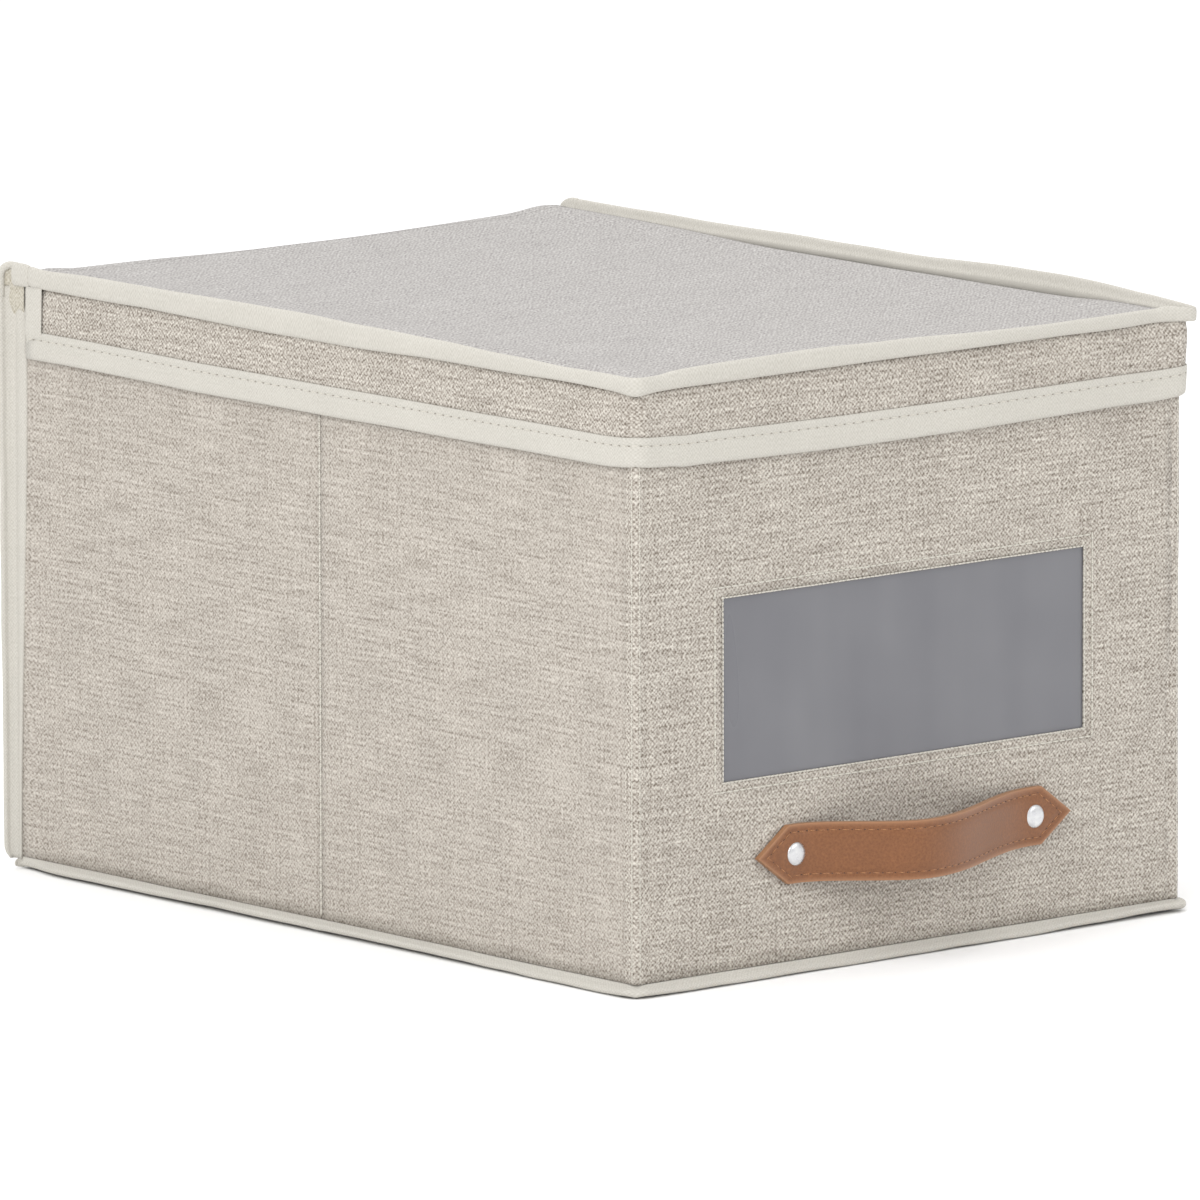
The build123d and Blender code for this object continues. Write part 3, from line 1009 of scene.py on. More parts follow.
# %% [markdown]
# The skirt is a single strip of linen. It swings out a little towards its hem, and its top is tucked in
# under the edge tape. It could be hung by a cloth simulation, but its seam holds it so stiffly that its
# shape hardly differs from a plain swept strip with a slow wave in it.

# %% Skirt cloth
SKIRT_OUT = 1.9 * MM
SKIRT_CORNER = 7.0 * MM
SKIRT_FOOT = 0.2185
SKIRT_HEAD = 0.2505
SKIRT_TUCK = 0.9 * MM


def hang(place, extra=0.0):
    """The push that a point of the skirt or its hem tape gets."""
    level = hang_level(place)
    spread = (1.2 + 2.4 * (1 - level)) * MM * corner_lift(place, 0.035) if place.x > 0 else 0.0
    return outwards(place) * (flare(place) + extra + spread) + UP * hem_wave(place) * level


def skirt():
    """The cloth that hangs from three sides of the lid."""
    x = -(HALF_WIDTH + SKIRT_OUT)
    ends = [Vector((x, SKIRT_REAR, z)) for z in (SKIRT_FOOT, SKIRT_HEAD)]
    cloth = sweep(fill_in(ends, 2.7 * MM), round_the_lid(SKIRT_OUT, SKIRT_CORNER, SKIRT_REAR))
    face_away(cloth, (0, 0, 0.23))

    def push(place):
        tuck = SKIRT_TUCK * ease((place.z - SKIRT_SEAM + 6 * MM) / (5 * MM))
        return hang(place) - outwards(place) * tuck

    soften(cloth, push)
    nodes = ["skirt_left", "skirt_front", "skirt_right"]
    made = make_piece("skirt_cloth", cloth, wall_cloth, "lid", nodes, 0.6 * MM)
    declare(made, (1.07, SKIRT_HEAD - SKIRT_FOOT))


skirt()

# %% [markdown]
# The hem tape wraps the skirt's lower edge. Its cross-section goes under the edge, up the outside, dips
# in where the stitches pull it down and ends in a thin upper edge. It gets the very same push as the
# skirt, so the two never part. At its two ends the upper corner is folded forward before it is sewn.

# %% Hem tape over the skirt's lower edge
HEM_FOOT = 0.2180
HEM_TOP = 0.2302
HEM_OUT = SKIRT_OUT + 0.35 * MM
HEM_MITRE = 9.5 * MM


def hem_tape():
    """The tape folded over the skirt's lower edge."""
    x = -(HALF_WIDTH + HEM_OUT)
    y = SKIRT_REAR + 0.3 * MM
    line = outline([(1.5, 0.8), (1.0, 0.1), (0.35, -0.2), (-0.1, 0.2), (-0.25, 1.5)], x, HEM_FOOT)
    line += outline([(-0.2, -4.2), (0.05, -3.4), (-0.15, -2.6), (-0.1, -0.4), (0.1, 0.0)], x, HEM_TOP)
    section = fill_in([Vector((px, y, pz)) for px, pz in line], 2.0 * MM)
    cloth = sweep(section, round_the_lid(HEM_OUT, SKIRT_CORNER + 0.4 * MM, y))
    face_away(cloth, (0, 0, 0.224))

    def mitre(place):
        """Folds the upper corner of the tape's two ends forward."""
        upper = ease((place.z - HEM_TOP + 6.0 * MM) / (6.0 * MM))
        rear = max(0.0, (place.y - y + 16 * MM) / (16 * MM))
        return Vector((0, -HEM_MITRE * upper * rear, 0))

    soften(cloth, mitre)
    soften(cloth, hang)
    nodes = ["hem_tape_left", "hem_tape_front", "hem_tape_right"]
    made = make_piece("hem_tape_cloth", cloth, tape_cloth, "lid", nodes, CLOTH_THICK, 1.0)
    declare(made, (1.07, 15.5 * MM))


hem_tape()

# %% [markdown]
# Each rear end of the skirt is bound by the same tape, folded round the upright cut edge. It is swept
# upwards, from under the hem tape to the seam.

# %% End tapes, up the skirt's two rear ends
END_TAPE_FOOT = 0.2225


def end_tape(side):
    """The short upright tape round one rear end of the skirt."""
    x = side * (HALF_WIDTH + SKIRT_OUT)
    node = f"end_tape_{word(side)}"
    low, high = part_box(node)
    width = high.y - low.y + 0.4 * MM
    end = SKIRT_REAR + 0.6 * MM
    line = outline([(-1.0, -1.0), (-0.7, 0.1), (0.0, 0.35), (0.55, -0.2), (0.65, -2.0)], x, end, side)
    line += outline([(0.6, 0.3), (0.3, 0.0)], x, end - width, side)
    section = fill_in([Vector((px, py, END_TAPE_FOOT)) for px, py in line], 1.5 * MM)
    cloth = sweep(section, [("go", (0, 0, SKIRT_HEAD - END_TAPE_FOOT), 18)])
    turn_map(cloth)
    face_away(cloth, (0, 0, 0.24))

    def push(place):
        under = 1.0 - ease((place.z - HEM_TOP + 3 * MM) / (2.5 * MM))
        return hang(place, (0.25 - 0.55 * under) * MM)

    soften(cloth, push)
    name = f"end_tape_cloth_{word(side)}"
    made = make_piece(name, cloth, tape_cloth, "lid", [node], CLOTH_THICK, 1.0)
    declare(made, (13.5 * MM, SKIRT_HEAD - END_TAPE_FOOT))


for side in (-1, 1):
    end_tape(side)

# %% [markdown]
# The edge tape is a bias tape folded over the seam allowance of top and skirt. It stands up as a soft
# roll, higher where the allowance is fuller, and its top wanders. Its cross-section is a closed loop a
# few millimetres across, and the same U path carries it round. Its last stretch on each side, beside
# the hinge, where the tape bends as the lid opens, is a piece of its own that stays where it is made.

# %% Edge tape round the lid's top
TAPE_OUT = 4.0 * MM
TAPE_CORNER = 7.0 * MM
TAPE_REAR = 0.1870
TAPE_END = 0.1965
TAPE_FOOT = 0.2496
TAPE_CREST = 0.2561
TAPE_FLAT = 11.5 * MM
EDGE_BAND = 12 * MM  # a place nearer than this to a wall's face is on that side's tape


def tape_rise(place):
    """How much the edge tape's crest rises above its usual height, along the three sides."""
    wander = 0.5 * MM * ripple(Vector((place.x, place.y, 0)), 0.035, 61)
    if place.x > HALF_WIDTH - EDGE_BAND:
        bow = 1.9 * MM + 1.7 * MM * hump(place.y, -0.108, 0.065)
    elif place.x < -HALF_WIDTH + EDGE_BAND:
        bow = 3.3 * MM * hump(place.y, 0.055, 0.21)
    else:
        bow = 2.3 * MM * hump(place.x, -0.062, 0.10)
    return bow * (1 - 0.6 * corner_lift(place, 0.03)) + wander


def tape_drop(place):
    """How much the lower edge of the tape wanders."""
    wander = 0.6 * MM * ripple(Vector((place.x, place.y, 0)), 0.04, 62)
    if place.x < 0:
        wander -= 1.0 * MM * corner_lift(place, 0.035) + 0.9 * MM * corner_lift(place, 0.010)
    else:
        wander += 2.2 * MM * corner_lift(place, 0.045)
    if place.x < -HALF_WIDTH + EDGE_BAND:
        wander -= 1.6 * MM * hump(place.y, 0.02, 0.09)
    return wander


def tape_section(side, y, fuller=0.0):
    """The closed cross-section of the edge tape at a place along a side of the lid."""
    x = HALF_WIDTH + TAPE_OUT
    line = outline([(-4.3, 3.2), (-3.2, 3.9)], x, TAPE_FOOT)
    line += outline([(-2.7, -1.2), (-2.0, -0.1), (-1.2, 0.25), (-0.4, -0.5), (0.0, -2.0)], x, TAPE_CREST)
    line += outline([(-0.1, 1.8), (-0.7, 0.5), (-1.8, 0.0), (-3.2, 0.4), (-4.3, 1.2)], x, TAPE_FOOT)
    middle = Vector((side * (x - 2.0 * MM), y, (TAPE_FOOT + TAPE_CREST) / 2))
    section = [Vector((side * px, y, pz)) for px, pz in line]
    return [p + (p - middle).normalized() * fuller for p in section]


def tape_push(place):
    """What the tape's slack and its seam do to each point of the plain swept tape."""
    level = clamp((place.z - TAPE_FOOT) / (TAPE_CREST - TAPE_FOOT))
    side = 0.35 * MM * ripple(place, 0.03, 63)
    rise = tape_rise(place) * level + tape_drop(place) * (1 - level)
    rear = max(0.0, place.y - 0.188) / (8.5 * MM)
    if place.x > 0:
        down = -3.0 * MM * rear ** 2 * level - 2.4 * MM * corner_lift(place, 0.022)
    else:
        down = (1.7 * ease((place.y - 0.172) / 0.02) - 0.6 * rear ** 2) * MM * level
    tip = 6.5 * MM * corner_lift(place, 0.017) if place.x > 0 else 0.0
    return outwards(place, 0.012) * (side + tip) + UP * (rise + down)


def finish_tape(name, tape, body, stands_for):
    """Shapes a swept tape, closes its ends and rounds it off."""
    bmesh.ops.recalc_face_normals(tape, faces=tape.faces)
    soften(tape, tape_push)
    bmesh.ops.holes_fill(tape, edges=[e for e in tape.edges if e.is_boundary], sides=0)
    bmesh.ops.recalc_face_normals(tape, faces=tape.faces)
    made = make_piece(name, tape, tape_cloth, body, stands_for)
    round_off(made)
    return made


def edge_tape():
    """The tape round three sides of the lid, as far as the hinge."""
    moves = round_the_lid(TAPE_OUT, TAPE_CORNER, TAPE_REAR, 90, 70, 12)
    tape = sweep(tape_section(-1, TAPE_REAR), moves, closed=True)
    nodes = ["edge_tape_left", "edge_tape_front", "edge_tape_right"]
    made = finish_tape("edge_tape_cloth", tape, "lid", nodes)
    declare(made, (1.06, TAPE_FLAT))


def tape_end(side):
    """The last stretch of the tape beside the hinge, which stays where it is made."""
    start = TAPE_REAR - 2.0 * MM
    tape = sweep(tape_section(side, start, 0.15 * MM), [("go", (0, TAPE_END - start, 0), 10)], closed=True)
    made = finish_tape(f"edge_tape_end_{word(side)}", tape, None, ())
    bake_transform(made)
    declare(made, (10.5 * MM, TAPE_FLAT))


edge_tape()
for side in (-1, 1):
    tape_end(side)

# %% [markdown]
# ## The bottom tape and the rear corner seams
#
# A folded tape closes the seam round the foot of the bin. It lies on the floor and sticks out a few
# millimetres, with rounded corners. Its cross-section is closed, and its path goes once round the base.
# Its outer rim lifts off the floor here and there, and no vertex is let through the floor.

# %% Bottom tape
FOOT_IN = 4.0 * MM
FOOT_OUT = 4.4 * MM


def bottom_tape():
    """The tape all round the foot of the bin."""
    x_core, y_core = HALF_WIDTH - FOOT_IN, HALF_DEPTH - FOOT_IN
    inside, wall, rim = -x_core, -HALF_WIDTH, -HALF_WIDTH - FOOT_OUT
    line = outline([(-0.2, 0.15)], inside, 0)
    line += outline([(1.6, 0.15), (0.4, 0.5), (0.0, 1.5), (0.5, 2.6), (1.8, 3.5)], rim, 0)
    line += outline([(-0.9, 4.6), (-0.35, 5.5), (1.0, 5.5)], wall, 0)
    line += outline([(-0.2, 5.2)], inside, 0)
    section = [Vector((px, 0.0, pz)) for px, pz in line]
    quarter = math.pi / 2
    moves = [
        ("go", (0, -y_core, 0), 44), ("turn", (-x_core, -y_core, 0), quarter, 10),
        ("go", (2 * x_core, 0, 0), 66), ("turn", (x_core, -y_core, 0), quarter, 10),
        ("go", (0, 2 * y_core, 0), 88), ("turn", (x_core, y_core, 0), quarter, 10),
        ("go", (-2 * x_core, 0, 0), 66), ("turn", (-x_core, y_core, 0), quarter, 10),
        ("go", (0, -y_core, 0), 44),
    ]
    tape = sweep(section, moves, closed=True)
    bmesh.ops.remove_doubles(tape, verts=tape.verts, dist=SAME_PLACE)
    bmesh.ops.recalc_face_normals(tape, faces=tape.faces)

    def push(place):
        """In millimetres up to its last line; far is 0 at the wall and 1 at the tape's rim."""
        far = clamp(max(abs(place.x) - HALF_WIDTH, abs(place.y) - HALF_DEPTH) / FOOT_OUT)
        away = outwards(place, 0.008)
        if place.y > HALF_DEPTH:
            away = Vector((0, 1, 0))
        lift = 0.35 + 0.6 * ripple(place, 0.02, 71) + 0.4 * ripple(place, 0.055, 72)
        pinch = 0.9 * bell(place.x, -HALF_WIDTH, 0.007) * bell(place.y, -HALF_DEPTH, 0.007)
        notch = -0.8 * bell(place.y, 0, 0.0025) if abs(place.x) > HALF_WIDTH else 0.0
        right_end = 2.2 * ease((place.x - 0.05) / 0.10) if place.y < -0.15 else 0.0
        left_side = 1.5 * ease((place.y + 0.165) / 0.12) if place.x < 0 else 0.0
        height = max(0.0, lift + right_end + left_side + pinch) * far + notch * far
        tip = 2.6 * corner_lift(place, 0.014) if place.x > 0 and place.y < 0 else 0.0
        tucked = 4.2 * ease((place.y - 0.168) / 0.027)
        side = (0.4 * ripple(place, 0.03, 73) + notch + tip - tucked) * far
        return (away * side + UP * max(height, -0.1)) * MM

    soften(tape, push)
    for vert in tape.verts:
        vert.co.z = max(0.0, vert.co.z)
    nodes = [f"bottom_tape_{part}" for part in ("left", "front", "right", "back")]
    made = make_piece("bottom_tape_cloth", tape, tape_cloth, "back_and_base", nodes)
    round_off(made)
    declare(made, (1.40, 12.5 * MM))


bottom_tape()

# %% [markdown]
# The two rear corners are bound seams: a tape lies on the side wall, dips into the seam, and wraps a fin
# of cloth that stands out from the corner. Seen from above the fin has a thin neck and a thick rounded
# bulb. That plan is swept upwards, and it is slimmer at the foot, where the cloth is pulled tight.

# %% Rear corner seams
FIN_TOP = 0.2490
FIN_FOOT = 4.5 * MM
FIN_ANGLE = math.radians(48)
FIN_LONG = 7.2 * MM
FIN_THICK = 1.25 * MM
GATHER_FROM = 0.217
SLIM_FROM = 0.215
SEAM_SPREAD = 35 * MM  # the tape's width when it is opened out


def rear_corner(side):
    """A rear corner in plan: its place, the fin's direction, and the direction across the fin."""
    corner = Vector((side * (HALF_WIDTH + 0.3 * MM), HALF_DEPTH + 0.2 * MM, 0))
    out = Vector((side * math.cos(FIN_ANGLE), math.sin(FIN_ANGLE), 0))
    flank = Vector((side * math.sin(FIN_ANGLE), -math.cos(FIN_ANGLE), 0))
    return corner, out, flank


def seam_plan(side):
    """The tape of a rear corner in plan: side wall, valley, neck and bulb of the fin, back wall."""
    corner, out, flank = rear_corner(side)
    on_side = side * (HALF_WIDTH + 0.95 * MM)
    bulb = [
        (0.8 * MM, 0.45 * MM), (3.9 * MM, 0.45 * MM), (4.6 * MM, FIN_THICK),
        (FIN_LONG - 1.2 * MM, 1.1 * FIN_THICK), (FIN_LONG - 0.2 * MM, 0.6 * FIN_THICK),
    ]
    return [
        Vector((side * (HALF_WIDTH + 0.1 * MM), HALF_DEPTH - 9.0 * MM, 0)),
        Vector((on_side, HALF_DEPTH - 8.4 * MM, 0)),
        Vector((on_side + side * 0.25 * MM, HALF_DEPTH - 5.5 * MM, 0)),
        Vector((on_side, HALF_DEPTH - 2.9 * MM, 0)),
        Vector((side * (HALF_WIDTH + 0.45 * MM), HALF_DEPTH - 1.6 * MM, 0)),
        *[corner + out * away + flank * half for away, half in bulb],
        corner + out * FIN_LONG,
        *[corner + out * away - flank * half for away, half in reversed(bulb)],
        Vector((side * (HALF_WIDTH - 2.4 * MM), HALF_DEPTH + 0.95 * MM, 0)),
        Vector((side * (HALF_WIDTH - 8.4 * MM), HALF_DEPTH + 0.9 * MM, 0)),
        Vector((side * (HALF_WIDTH - 9.0 * MM), HALF_DEPTH + 0.1 * MM, 0)),
    ]


def rear_seam(side):
    """The bound seam of one rear corner, which stays where it is made."""
    corner, out, _ = rear_corner(side)
    section = [p + UP * FIN_FOOT for p in fill_in(seam_plan(side), 1.3 * MM)]
    tape = sweep(section, [("go", (0, 0, FIN_TOP - FIN_FOOT), 110)])
    turn_map(tape)
    face_away(tape, (side * 0.14, 0.19, 0.12))

    def push(place):
        beyond = clamp((Vector((place.x, place.y, 0)) - corner).dot(out) / FIN_LONG)
        upper = (place.z - FIN_FOOT) / (FIN_TOP - FIN_FOOT)
        narrow = -(1.6 * (1 - upper) + 0.3) * MM * beyond
        wander = 0.35 * MM * ripple(Vector((0, place.y, place.z)), 0.03, 81 + side)
        gather = 0.0
        if place.z > GATHER_FROM and beyond < 0.35 and abs(place.x) > HALF_WIDTH:
            gather = 0.55 * MM * ripple(place, 0.006, 84) * min(1.0, (place.z - GATHER_FROM) / 0.01)
        slim = 0.0
        if abs(place.x) > HALF_WIDTH - 0.5 * MM and place.y < HALF_DEPTH - 2.0 * MM:
            slim = (HALF_DEPTH - 2.2 * MM - place.y) * 0.80 * ease((SLIM_FROM - place.z) / SLIM_FROM)
        foot = 0.0
        if place.z < FIN_FOOT + 5 * MM:
            foot = -2.4 * MM * (1 - (place.z - FIN_FOOT) / (5 * MM)) ** 2 * beyond
        return out * (narrow + wander * beyond + foot) + Vector((side * gather, slim, 0))

    soften(tape, push)
    nodes = [f"rear_corner_tape_{word(side)}"]
    made = make_piece(f"rear_seam_{word(side)}", tape, tape_cloth, None, nodes, CLOTH_THICK)
    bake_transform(made)
    declare(made, (SEAM_SPREAD, FIN_TOP))


for side in (-1, 1):
    rear_seam(side)

# %% [markdown]
# ## Where the corner seams meet the lid
#
# At the two ends of the hinge the bound edge of each corner seam turns over and runs into the lid's
# edge tape. On the left it stands higher than on the right. The space under that turn is filled by the
# seam's bunched linen. The tape is a round tube swept up, over and forward, and the linen is an upright
# strip pushed about by fine noise. Both stay where they are made and ride on neither back nor lid.

# %% Tape turning from a corner seam into the edge tape
KNOT_FOOT = 0.2440
KNOT_LEVEL = {-1: 0.2532, 1: 0.2478}
KNOT_LONG = {-1: 12.5 * MM, 1: 10.0 * MM}
KNOT_BEND = 4.5 * MM
KNOT_SIDES = 12


def hinge_knot(side):
    """The end of a corner seam's bound edge, which turns over into the lid's edge tape."""
    corner, out, flank = rear_corner(side)
    bulb = corner + out * (FIN_LONG - 2.0 * MM)
    level = KNOT_LEVEL[side]
    section = []
    for k in range(KNOT_SIDES):
        turn = 2 * math.pi * k / KNOT_SIDES
        spoke = out * 1.75 * MM * math.cos(turn) + flank * 1.7 * MM * math.sin(turn)
        section.append(bulb + spoke + UP * KNOT_FOOT)
    moves = [
        ("go", (0, 0, level - KNOT_FOOT), 8),
        ("turn", bulb - out * KNOT_BEND + UP * level, math.pi / 2, 9, out.cross(UP)),
        ("go", (side * 0.3 * MM, -5.5 * MM, 0.2 * MM), 5),
    ]
    tape = sweep(section, moves, closed=True)
    turn_map(tape)
    bmesh.ops.holes_fill(tape, edges=[e for e in tape.edges if e.is_boundary], sides=0)
    bmesh.ops.recalc_face_normals(tape, faces=tape.faces)
    soften(tape, lambda p: Vector((0.2 * side, 0.2, 0.2)) * ripple(p, 0.006, 86 + side) * MM)
    made = make_piece(f"hinge_knot_{word(side)}", tape, tape_cloth, None)
    round_off(made)
    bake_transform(made)
    declare(made, (10 * MM, KNOT_LONG[side]))


GATHER_FOOT = 0.2340
GATHER_CREST = {-1: 0.2562, 1: 0.2515}
GATHER_LONG = {-1: 22.5 * MM, 1: 18.0 * MM}


def hinge_gather(side):
    """The crumpled cloth that fills the corner under the turned tape, between the seam and the lid."""
    corner, out, flank = rear_corner(side)
    plan = [
        corner + out * 4.9 * MM,
        corner + out * 1.6 * MM + Vector((side * 0.3 * MM, 0, 0)),
        Vector((corner.x + side * 1.5 * MM, HALF_DEPTH - 1.5 * MM, 0)),
        Vector((corner.x + side * 1.6 * MM, HALF_DEPTH - 8.8 * MM, 0)),
    ]
    section = [p + UP * GATHER_FOOT for p in fill_in(plan, 0.7 * MM)]
    cloth = sweep(section, [("go", (0, 0, GATHER_CREST[side] - GATHER_FOOT), 32)])
    turn_map(cloth)
    face_away(cloth, (0, 0.15, 0.25))

    def push(place):
        low = 1.0 - ease((place.z - GATHER_FOOT) / (9 * MM))
        fold = 0.70 * ripple(place, 0.0036, 201) + 0.40 * ripple(place, 0.0017, 202)
        return flank * (fold - 2.3 * low) * MM

    soften(cloth, push)
    made = make_piece(f"hinge_gather_{word(side)}", cloth, gather_cloth, None, (), 0.2 * MM)
    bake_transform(made)
    declare(made, (14 * MM, GATHER_LONG[side]))


for side in (-1, 1):
    hinge_knot(side)
    hinge_gather(side)

# %% [markdown]
# ## Inside: linings, film and boards
#
# The linings are thin sheets glued to the boards, with the same slow puckers as the outside. Each takes
# its size from the node that it stands for, and one helper turns a flat grid to face any of three ways.

# %% Lining sheets
UPRIGHT = Matrix(((1, 0, 0), (0, 0, 1), (0, 1, 0)))
SIDEWAYS = Matrix(((0, 0, 1), (1, 0, 0), (0, 1, 0)))
LYING = Matrix.Identity(3)
LINING_CUT_BACK = 3 * MM  # how far the lining stops short of the window's edge


def lining_sheet(name, node, body, axis, inner, hole=False):
    """A sheet the size of a node, on its inner side; axis is the direction of its thickness."""
    low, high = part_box(node)
    size = high - low
    others = [k for k in range(3) if k != axis]
    width, length = size[others[0]], size[others[1]]
    cloth = flat_sheet(width, length, 8 * MM)
    turn = (SIDEWAYS, UPRIGHT, LYING)[axis]
    middle = (low + high) / 2
    middle[axis] = low[axis] + 0.15 * MM if inner < 0 else high[axis] - 0.15 * MM
    bmesh.ops.transform(cloth, matrix=Matrix.Translation(middle) @ turn.to_4x4(), verts=cloth.verts)
    if hole:
        cut_window(cloth, LINING_CUT_BACK)
    away = Vector((0, 0, 0))
    away[axis] = inner
    soften(cloth, lambda p: away * (0.12 + 0.12 * ripple(p, 0.05, 91)) * MM)
    face_away(cloth, middle - away)
    made = make_piece(name, cloth, lining_cloth, body, [node], CLOTH_THICK)
    area = width * length
    if hole:
        area -= (WINDOW_WIDE + 2 * LINING_CUT_BACK) * (WINDOW_HEAD - WINDOW_FOOT + 2 * LINING_CUT_BACK)
    declare(made, (width, length))


for body in ("left_rear", "left_front"):
    lining_sheet(f"{body}_lining_sheet", f"{body}_lining", body, 0, 1)
for body in ("right_rear", "right_front"):
    lining_sheet(f"{body}_lining_sheet", f"{body}_lining", body, 0, -1)
lining_sheet("front_lining_sheet", "front_lining", "front_wall", 1, 1, hole=True)
lining_sheet("back_lining_sheet", "back_lining", "back_and_base", 1, -1)
lining_sheet("lid_lining_sheet", "lid_lining", "lid", 2, -1)


def base_sheet(name, node, inner, material):
    """A sheet on the base, facing up where inner is 1."""
    low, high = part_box(node)
    cloth = flat_sheet(high.x - low.x, high.y - low.y, 8 * MM)
    level = high.z - 0.1 * MM if inner > 0 else low.z + 0.12 * MM
    bmesh.ops.translate(cloth, verts=cloth.verts, vec=(0, 0, level))
    soften(cloth, lambda p: Vector((0, 0, (0.1 + 0.1 * ripple(p, 0.05, 95)) * MM * inner)))
    face_away(cloth, (0, 0, level - inner))
    made = make_piece(name, cloth, material, "back_and_base", [node], CLOTH_THICK)
    declare(made, (high.x - low.x, high.y - low.y))


base_sheet("base_inside_sheet", "base_board_cloth", 1, lining_cloth)
base_sheet("base_outside_sheet", "base_cover", -1, wall_cloth)

# %% [markdown]
# The two boards of a side wall don't touch at the fold. A narrow tape is glued over the gap on the
# inside. It stays where it is made and rides on neither board.

# %% Seam tape inside the crease of each side wall
def crease_tape(side):
    """The tape glued inside the fold of a side wall."""
    x = side * (HALF_WIDTH - WALL_DEEP - 0.35 * MM)
    line = [Vector((x, y * MM, WALL_LOW + 1 * MM)) for y in (-5.0, -1.2, 0.0, 1.2, 5.0)]
    line[2].x -= side * 0.3 * MM
    tape = sweep(fill_in(line, 1.0 * MM), [("go", (0, 0, WALL_TOP - WALL_LOW - TURN_IN - 1 * MM), 50)])
    turn_map(tape)
    face_away(tape, (side * HALF_WIDTH, 0, 0.12))
    name = word(side)
    made = make_piece(f"crease_tape_{name}", tape, tape_cloth, None, (), 0.25 * MM)
    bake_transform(made)
    declare(made, (10 * MM, 233.5 * MM))


for side in (-1, 1):
    crease_tape(side)

# %% [markdown]
# The film is glued behind the window's cut edge, so it is held flat there and buckles a little in the
# middle. A flat grid with a slow, tall wave in it has that look once light runs over it.

# %% Window film
FILM_SLACK_FROM = 15 * MM


def window():
    """The clear film behind the window's edge."""
    low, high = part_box("window_film")
    sheet = flat_sheet(high.x - low.x, high.z - low.z, 4 * MM)
    middle = (low + high) / 2
    middle.y = low.y - 0.45 * MM
    bmesh.ops.transform(sheet, matrix=Matrix.Translation(middle) @ UPRIGHT.to_4x4(), verts=sheet.verts)

    def push(place):
        from_side = min(place.x - WINDOW_LEFT, WINDOW_RIGHT - place.x)
        from_end = min(place.z - WINDOW_FOOT, WINDOW_HEAD - place.z)
        free = clamp(min(from_side, from_end) / FILM_SLACK_FROM)
        warp = ripple(Vector((place.x, 0, place.z * 0.35)), 0.035, 101)
        return Vector((0, (0.7 * warp + 0.5) * MM * free, 0))

    soften(sheet, push)
    face_away(sheet, WALLS_MIDDLE)
    made = make_piece("window_film_sheet", sheet, film, "front_wall", ["window_film"])
    declare(made, (high.x - low.x, high.z - low.z))


window()

# %% [markdown]
# Every board but the lid's keeps its CAD shape, because only its edges are ever seen. It gets its finish
# and nothing else.

# %% The finish of the boards
for name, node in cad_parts.items():
    if name.endswith("_board"):
        node.data.materials.clear()
        node.data.materials.append(board)
        print("board finish on", name)

# %% [markdown]
# ## The strap
#
# The handle is a strap of two layers of hide, pointed at both ends, riveted at each end and bowed out in
# between. It is cut flat first: a grid with its corners sliced off, given its thickness, and its rim
# rounded. Then the flat strap is bent: each vertex moves out along the bow, whose crest sits left of the
# middle. The paler rim and the dip along the stitch line are worked out from how far a vertex is from
# the cut edge.

# %% Strap shape
STRAP_HALF = 86.4 * MM
STRAP_TALL = 12.25 * MM
STRAP_POINT = 16.5 * MM
STRAP_THICK = 2.7 * MM
STRAP_LEVEL = 50.5 * MM
STITCH_INSET = 3.2 * MM
BOW_OUT = 24.6 * MM
BOW_CREST = -12.0 * MM
BOW_FOOT = 66.0 * MM
STRAP_OFF_WALL = 0.75 * MM
GROOVE_DEEP = 0.42 * MM
CUT_WELD = 0.02 * MM  # the slivers that the slanting cuts leave are merged within this


def bow(x):
    """How far the strap's back stands off the wall at x."""
    left = (x + BOW_FOOT) / (BOW_CREST + BOW_FOOT)
    right = (BOW_FOOT - x) / (BOW_FOOT - BOW_CREST)
    return BOW_OUT * ease(left if x < BOW_CREST else right)


def bend_strap(place):
    """From the flat strap, x along, z up and y its thickness from the back, to its place on the bin."""
    slope = (bow(place.x + 0.5 * MM) - bow(place.x - 0.5 * MM)) / MM
    across = Vector((-slope, 1.0)).normalized()
    droop = 0.8 * MM * (bow(place.x) / BOW_OUT)
    return Vector((
        place.x + across.x * place.y,
        -HALF_DEPTH - STRAP_OFF_WALL - bow(place.x) - across.y * place.y,
        STRAP_LEVEL + place.z - droop,
    ))


def rim_gap(x, z):
    """Distance from the strap's cut edge, in the flat."""
    slant = math.hypot(STRAP_POINT, STRAP_TALL)
    to_point = ((STRAP_HALF - abs(x)) * STRAP_TALL - abs(z) * STRAP_POINT) / slant
    return min(STRAP_TALL - abs(z), to_point)


